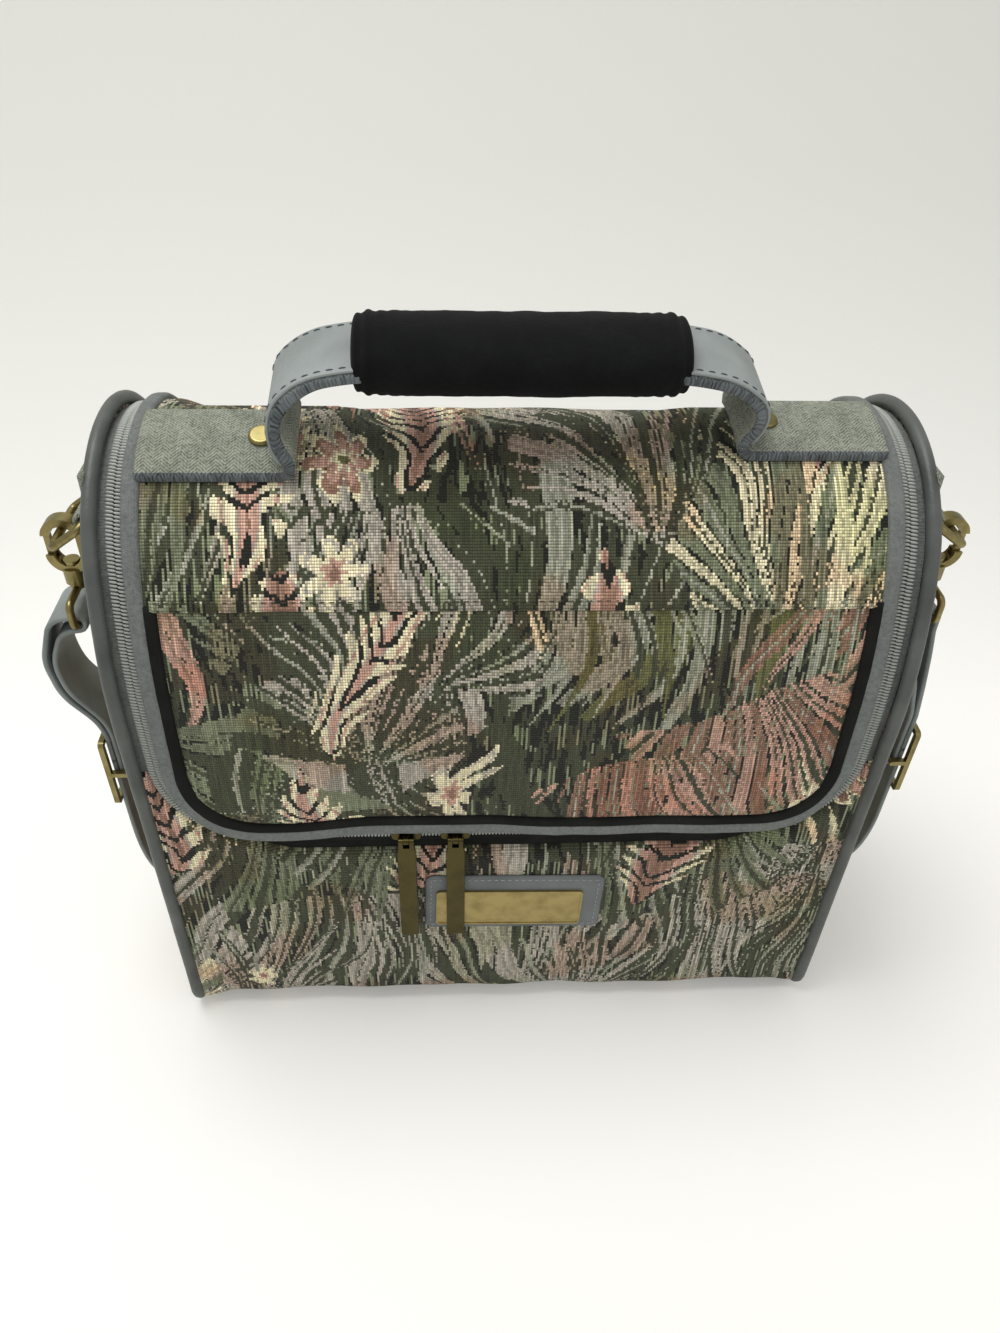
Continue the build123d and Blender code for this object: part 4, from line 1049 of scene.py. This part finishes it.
def lidSheet(name, offset, inset, thickness, top, look, nodes, backTo=None):
    # plain layer of the lid, from the curve over the zip up the front and, if asked, over to the back
    rows = []
    half = zipLine["side"] - offset
    end = backTo if backTo is not None else -runAt(top)
    for share in spread(0, 1, 40):
        row = []
        for x in columnsAcross(half, 9.0):
            start = -runAt(lowEdge(x, offset))
            run = start + (end - start) * share
            point, normal = wallFrame(run)
            point = point - normal * (inset + domeSag(x, run))
            point.x = x
            row.append((point, normal, (x, run)))
        rows.append(row)
    return clothPiece(name, rows, thickness, look, "lid", nodes)


lidSheet("lidBacking", 7.0, 1.9, 1.0, 252.0, "binding", ["lid_backing"])
lidSheet("lidLining", 7.0, 3.85, 0.7, 0.0, "lining", ["lid_lining"], runAt(bag["hinge"] + 0.6))
print("lid made")

# Handle: webbing that lies on the dome at each end and stands up to the grip
handle = {
    "lean": 9.4, "leftFoot": 19.0, "rightFoot": 10.4, "width": 35.0, "thickness": 4.4,
    "facingWidth": 33.0, "facingThickness": 1.2, "stitchOut": 14.4,
    "path": [(-142, 63.0), (-100, 63.0), (-80, 63.0), (-93, 77.8), (-77, 90.0), (-60, 93.1), (0, 94.1)],
}
lean = math.radians(handle["lean"])
handleUp = Vector((0, -math.sin(lean), math.cos(lean)))
handleOut = Vector((0, -math.cos(lean), -math.sin(lean)))


def filletPath(points, share=0.45, largest=60.0, step=2.0):
    # the path with each corner turned on an arc
    points = [Vector(p) for p in points]
    path = [points[0]]
    for before, corner, after in zip(points, points[1:], points[2:]):
        back, on = before - corner, after - corner
        half = back.angle(on) / 2
        if math.pi / 2 - half < 0.01:
            path.append(corner)
            continue
        radius = min(share * min(back.length, on.length) * math.tan(half), largest)
        cut = radius / math.tan(half)
        first, last = corner + back.normalized() * cut, corner + on.normalized() * cut
        centre = corner + (back.normalized() + on.normalized()).normalized() * radius / math.sin(half)
        turn = math.pi - 2 * half
        count = max(int(radius * turn / step), 3)
        a, b = first - centre, last - centre
        for i in range(count + 1):
            t = i / count
            path.append(centre + (a * math.sin((1 - t) * turn) + b * math.sin(t * turn)) / math.sin(turn))
    path.append(points[-1])
    dense = []
    for a, b in zip(path, path[1:]):
        count = max(int((b - a).length / step), 1)
        dense += [a.lerp(b, i / count) for i in range(count)]
    return dense + [path[-1]]


handlePoints = handle["path"] + [(-x, h) for x, h in reversed(handle["path"][:-1])]
handleLine = filletPath([(x, h, 0) for x, h in handlePoints])


def handlePoint(x, height, out):
    # bent round the dome where the webbing lies on it, each foot at its own lean
    flat = smoothStep((height - 64.5) / 12)
    bend = out / height
    side = (1 - flat) * height * math.sin(bend) + flat * out
    up = (1 - flat) * height * math.cos(bend) + flat * height
    foot = handle["leftFoot"] if x < 0 else handle["rightFoot"]
    turn = lean + math.radians(foot - handle["lean"]) * (1 - smoothStep((height - 64) / 26))
    upward = Vector((0, -math.sin(turn), math.cos(turn)))
    outward = Vector((0, -math.cos(turn), -math.sin(turn)))
    return Vector((x, 0, crownCentre)) + upward * up + outward * side


def handleRows(line, section):
    rows = []
    for i, place in enumerate(line):
        before, after = line[max(i - 1, 0)], line[min(i + 1, len(line) - 1)]
        tangent = (after - before).normalized()
        normal = Vector((-tangent.y, tangent.x, 0))
        row = []
        for out, high in section:
            spot = place + normal * high
            row.append(handlePoint(spot.x, spot.y, out))
        rows.append(row)
    return rows


def bandPiece(name, rows, look, body, nodes, section, edgeLook=None):
    points = [p for row in rows for p in row]
    uvs = [(v, a) for v in lengthsAlong(rows) for a, b in section]
    piece = makePiece(name, points, tubeFaces(rows), look, body, nodes, uvs)
    if edgeLook:
        piece.data.materials.append(finish[edgeLook])
        limit = max(a for a, b in section) - 1.2
        for polygon in piece.data.polygons:
            places = [section[v % len(section)][0] for v in polygon.vertices]
            if min(abs(a) for a in places) > limit:
                polygon.material_index = 1
    mend(piece)
    return piece


webbingSection = bandSection(handle["width"] / 2, handle["thickness"] / 2, 0.75, 6)
for i in range(1, 6):
    webbingSection.insert(6 + 6 + i - 1, (handle["width"] / 2 - 2 - i * 5.2, handle["thickness"] / 2))
for i in range(1, 6):
    webbingSection.append((-handle["width"] / 2 + 2 + i * 5.2, -handle["thickness"] / 2))
bandPiece("handleStrap", handleRows(handleLine, webbingSection), "webbing", "lid", ["handle_strap"],
          webbingSection, "webbingEdge")

facingStart = (Vector((*handlePoints[2], 0)) + Vector((*handlePoints[3], 0))) / 2
low = min(range(len(handleLine) // 2), key=lambda i: (handleLine[i] - facingStart).length)
facingLine = handleLine[low:len(handleLine) - low]
facingMiddle = handle["thickness"] / 2 + handle["facingThickness"] / 2
facingSection = bandSection(handle["facingWidth"] / 2, handle["facingThickness"] / 2, 0.9, 5)
facingSection = [(a, b + facingMiddle) for a, b in facingSection]
bandPiece("handleFacing", handleRows(facingLine, facingSection), "handleVinyl", "lid", ["handle_facing"],
          facingSection)

surface = handle["thickness"] / 2 + handle["facingThickness"]
for i, out in enumerate((-handle["stitchOut"], handle["stitchOut"])):
    places = []
    for row, above in zip(handleRows(facingLine, [(out, surface)]), handleRows(facingLine, [(out, surface + 1)])):
        places.append((row[0], (above[0] - row[0]).normalized()))
    half = len(places) // 2
    for part, stretch in (("Left", places[3:half - 22]), ("Right", places[half + 22:-3])):
        stitchRow("facingStitch" + part + str(i + 1), stretch, "darkThread", "lid", 3.0, 1.6, 0.3)
print("handle made")

# Padded grip wrapped round the webbing, gathered at both ends
grip = {
    "half": 61.0, "middle": 93.4, "width": 37.0, "height": 25.5, "ribs": 1.0, "ribPitch": 4.6, "sag": 0.9,
    "around": 56, "along": 74,
}
rows = []
for station in spread(-1, 1, grip["along"]):
    x = grip["half"] * math.sin(station * math.pi / 2 * 0.94) / math.sin(math.pi / 2 * 0.94)
    toEnd = grip["half"] - abs(x)
    closing = math.sqrt(max(1 - max(1 - toEnd / 5.5, 0) ** 2, 0.0))
    scale = 0.66 + 0.34 * closing
    ribs = grip["ribs"] * math.sin(toEnd * 2 * math.pi / grip["ribPitch"]) * math.exp(-toEnd / 8)
    row = []
    for k in range(grip["around"]):
        turn = 2 * math.pi * k / grip["around"]
        wrinkle = 0.5 * ripple(x, turn * 16, 17.0, 51.0) + 0.25 * ripple(x, turn * 16, 6.0, 52.0)
        a = (grip["width"] / 2 + ribs + wrinkle) * scale * math.cos(turn)
        b = (grip["height"] / 2 + ribs + wrinkle) * scale * math.sin(turn)
        if b < 0:
            b -= grip["sag"] * (1 - (x / grip["half"]) ** 2)
        row.append(Vector((x, 0, crownCentre)) + handleUp * (grip["middle"] + b) + handleOut * a)
    rows.append(row)
points = [p for row in rows for p in row]
gripPiece = makePiece("grip", points, tubeFaces(rows), "grip", "lid", ["handle_grip"], None)
mend(gripPiece)
print("grip made")

# Name patch with its stitched border; the plate itself is a fitting
tilt = math.radians(patch["tilt"])


def patchPoint(a, b, out):
    return Vector((
        patch["x"] + a * math.cos(tilt) - b * math.sin(tilt), -(bag["halfDepth"] - bag["faceInset"]) - out,
        patch["z"] + a * math.sin(tilt) + b * math.cos(tilt),
    ))


rows = []
for b in spread(-patch["height"] / 2, patch["height"] / 2, 22):
    over = max(abs(b) - patch["height"] / 2 + patch["corner"], 0)
    half = patch["width"] / 2 - patch["corner"] + math.sqrt(max(patch["corner"] ** 2 - over**2, 0.0))
    row = []
    for share in spread(-1, 1, 40):
        a = half * share
        raised = 0.15 * ripple(a, b, 14.0, 61.0) * smoothStep((max(abs(a) / 42, abs(b) / 19) - 0.72) / 0.2)
        row.append((patchPoint(a, b, patch["thickness"] + raised), Vector((0, -1, 0)), (a, b)))
    rows.append(row)
clothPiece("namePatch", rows, patch["thickness"], "greyVinyl", "case", ["name_patch"])
a, b = patch["width"] / 2 - patch["stitchIn"], patch["height"] / 2 - patch["stitchIn"]
corners = [(-a, -b), (a, -b), (a, b), (-a, b)]
for i in range(4):
    (fromA, fromB), (toA, toB) = corners[i], corners[(i + 1) % 4]
    places = [
        (patchPoint(fromA + (toA - fromA) * t, fromB + (toB - fromB) * t, patch["thickness"]), Vector((0, -1, 0)))
        for t in spread(0, 1, 12)
    ]
    stitchRow("patchStitch" + str(i + 1), places, "thread", "case", 2.2, 1.0, 0.26)
print("patch made")

# Webbing tabs that hold the rings
fitting = {"y": -26.0, "barX": 164.1, "barZ": 276.0, "tabWidth": 23.0, "tabThickness": 2.0}
for side, sign in (("Left", -1), ("Right", 1)):
    line = [(161.0, 295.5), (161.05, 290.0), (161.1, 284.0), (161.35, 280.5)]
    for turn in spread(140, -140, 15):
        angle = math.radians(turn)
        line.append((fitting["barX"] + 3.1 * math.cos(angle), fitting["barZ"] + 3.1 * math.sin(angle)))
    line += [(161.35, 271.5), (161.1, 267.0), (161.1, 262.0)]
    frames = []
    for i, (x, z) in enumerate(line):
        before, after = line[max(i - 1, 0)], line[min(i + 1, len(line) - 1)]
        along = Vector((sign * (after[0] - before[0]), 0, after[1] - before[1])).normalized()
        across = Vector((0, 1, 0))
        frames.append((Vector((sign * x, fitting["y"] + 0.3 * ripple(i, 3, 4, 71), z)), across, across.cross(along)))
    sweptPiece("ringTab" + side, frames, bandSection(fitting["tabWidth"] / 2, fitting["tabThickness"] / 2, 0.9, 4),
               "webbing", "case", ["ring_tab_" + side.lower()])

# Shoulder strap: up each end to its ring, back to its slide, and behind the bag along the floor
strap = {
    "width": 25.0, "thickness": 2.2, "floor": 0.5, "turnRadius": 95.0, "turnY": 69.0, "slideZ": 145.0, "bend": 26.0,
    "place": {"Left": 182.0, "Right": 190.0},
    "outer": {
        "Left": [(193.0, 190.0), (195.8, 209.0), (188.5, 230.6), (174.2, 231.8), (174.2, 225.8)],
        "Right": [(185.4, 190.0), (182.8, 208.0), (180.3, 222.0), (180.2, 231.8), (174.2, 231.8)],
    },
    "inner": {
        "Left": [(185.3, 224.0), (192.2, 208.2), (189.8, 191.9)],
        "Right": [(174.1, 221.0), (176.6, 207.0), (181.5, 190.0)],
    },
    "back": [(-150, 92), (-95, 88), (-40, 91), (20, 87), (80, 91), (140, 89)],
}
strapSection = bandSection(strap["width"] / 2, strap["thickness"] / 2, 0.85, 4)
strapMiddleZ = strap["floor"] + strap["width"] / 2


def ribbonFrames(line, wide):
    frames = []
    for i, place in enumerate(line):
        along = (line[min(i + 1, len(line) - 1)] - line[max(i - 1, 0)]).normalized()
        frames.append((place, wide, wide.cross(along).normalized()))
    return frames


turnTop = strapMiddleZ + strap["turnRadius"]
for side, sign in (("Left", -1), ("Right", 1)):
    outerX, innerX = strap["place"][side] - 2.5, strap["place"][side] - 5.0
    line = [(outerX, 150.0), (outerX, 172.0)] + strap["outer"][side] + strap["inner"][side]
    line += [(innerX, 173.1), (innerX, strap["slideZ"] + 1)]
    path = filletPath([(x, z, 0) for x, z in line], 0.45, strap["bend"], 1.6)
    dense = [Vector((sign * p.x, fitting["y"], p.y)) for p in path]
    barX = innerX - 2.5
    for turn in spread(0, -200, 16):
        angle = math.radians(turn)
        x, z = barX + 2.5 * math.cos(angle), strap["slideZ"] + 2.5 * math.sin(angle)
        dense.append(Vector((sign * x, fitting["y"], z)))
    frames = ribbonFrames(dense, Vector((0, 1, 0)))
    top = sweptPiece("strap" + side, frames, strapSection, "strapVinyl", None, ["shoulder_strap"])
    start, end = Vector((sign * 180, fitting["y"], 170)) * mm, Vector((sign * 180, fitting["y"], 224)) * mm
    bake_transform(top)

leftX, rightX = strap["place"]["Left"] - 2.5, strap["place"]["Right"] - 2.5
frames = []
for side, sign, x in (("Left", -1, leftX), ("Right", 1, rightX)):
    part = []
    for z in spread(152, turnTop, 16)[:-1]:
        part.append((Vector((sign * x, fitting["y"], z)), Vector((0, 1, 0)), Vector((sign, 0, 0))))
    for turn in spread(0, 90, 30):
        angle = math.radians(turn)
        radial = Vector((0, math.cos(angle), math.sin(angle)))
        place = Vector((sign * x, strap["turnY"], turnTop)) - strap["turnRadius"] * radial
        part.append((place, radial, Vector((sign, 0, 0))))
    if side == "Left":
        frames += part[:-1]
        corner = [(-leftX, strap["turnY"]), (-leftX, strap["back"][0][1] - 4)] + strap["back"]
        corner += [(rightX, strap["back"][-1][1] - 4), (rightX, strap["turnY"])]
        run = filletPath([(px, py, 0) for px, py in corner], 0.45, 400.0, 4.0)
        for i, place in enumerate(run):
            along = (run[min(i + 1, len(run) - 1)] - run[max(i - 1, 0)]).normalized()
            out = Vector((-along.y, along.x, 0))
            frames.append((Vector((place.x, place.y, strapMiddleZ)), Vector((0, 0, 1)), out))
    else:
        frames += part[::-1][1:]
sweptPiece("strapMiddle", frames, strapSection, "strapVinyl", "case", ["shoulder_strap"])
print("strap made")

# Metal fittings and the base board keep their own shapes and take these finishes
fittingLooks = {"name_plate": "plateBrass", "slider": "shadedPullBrass", "pull": "shadedPullBrass", "base_board": "board"}
for name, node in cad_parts.items():
    look = "brass"
    for start, other in fittingLooks.items():
        if name.startswith(start):
            look = other
    for place in node.material_slots:
        place.material = finish[look]

# Camera at the angle of the photograph
view = {"place": (-28.5, -367.7, 478.4), "lens": 27.0, "down": 39.66, "turn": 4.02, "roll": -2.01}
down, turn, roll = (math.radians(view[key]) for key in ("down", "turn", "roll"))
forward = Vector((math.sin(turn) * math.cos(down), math.cos(turn) * math.cos(down), -math.sin(down)))
level = Vector((math.cos(turn), -math.sin(turn), 0))
below = forward.cross(level)
right = math.cos(roll) * level + math.sin(roll) * below
below = -math.sin(roll) * level + math.cos(roll) * below
lens = bpy.data.cameras.new("camera")
lens.lens = view["lens"]
lens.clip_start = 0.01
camera = bpy.data.objects.new("camera", lens)
axes = Matrix((right, -below, -forward)).transposed().to_4x4()
camera.matrix_world = Matrix.Translation(Vector(view["place"]) * mm) @ axes
bpy.context.scene.collection.objects.link(camera)
bpy.context.scene.camera = camera

# Pale table and soft light
studio = {"key": 11.5, "fill": 1.2, "sky": 0.58, "glow": 0.16}
mesh = bpy.data.meshes.new("table")
curve = [(-1.4, 0.0), (0.25, 0.0)] + [
    (0.25 + 0.45 * math.sin(a), 0.45 - 0.45 * math.cos(a)) for a in spread(0.1, math.pi / 2, 12)
] + [(0.7, 2.0)]
mesh.from_pydata([(x, y, z) for y, z in curve for x in (-2.0, 2.0)], [],
                 [(2 * i, 2 * i + 1, 2 * i + 3, 2 * i + 2) for i in range(len(curve) - 1)])
for polygon in mesh.polygons:
    polygon.use_smooth = True
tableMaterial, tree, shader = startMaterial("tablePaper", colour(246, 245, 241), 0.9)
unused, depth, unused = split(tree, objectPlace(tree))
feed(tree, shader.inputs["Base Color"],
     blendColours(tree, between(tree, depth, 120.0, 650.0), colour(246, 245, 241), colour(206, 206, 200)))
seen = tree.nodes.new("ShaderNodeLightPath").outputs["Is Camera Ray"]
feed(tree, shader.inputs["Emission Strength"], mathStep(tree, "MULTIPLY", seen, studio["glow"]))
shader.inputs["Emission Color"].default_value = colour(246, 245, 240)
mesh.materials.append(tableMaterial)
table = bpy.data.objects.new("table", mesh)
bpy.context.scene.collection.objects.link(table)

world = bpy.data.worlds.new("studio")
bpy.context.scene.world = world
world.use_nodes = True
world.node_tree.nodes["Background"].inputs[0].default_value = (1.0, 1.0, 1.0, 1.0)
world.node_tree.nodes["Background"].inputs[1].default_value = studio["sky"]


def addLight(name, place, aim, size, power):
    lamp = bpy.data.lights.new(name, "AREA")
    lamp.shape = "RECTANGLE"
    lamp.size, lamp.size_y = size
    lamp.energy = power
    light = bpy.data.objects.new(name, lamp)
    light.location = place
    light.rotation_euler = (Vector(aim) - Vector(place)).to_track_quat("-Z", "Y").to_euler()
    bpy.context.scene.collection.objects.link(light)


addLight("keyLight", (-0.35, 0.05, 1.5), (0, 0, 0.15), (0.9, 0.7), studio["key"])
addLight("fillLight", (0.9, -0.9, 0.7), (0, 0, 0.15), (0.8, 0.8), studio["fill"])
bpy.context.scene.view_settings.view_transform = "Standard"
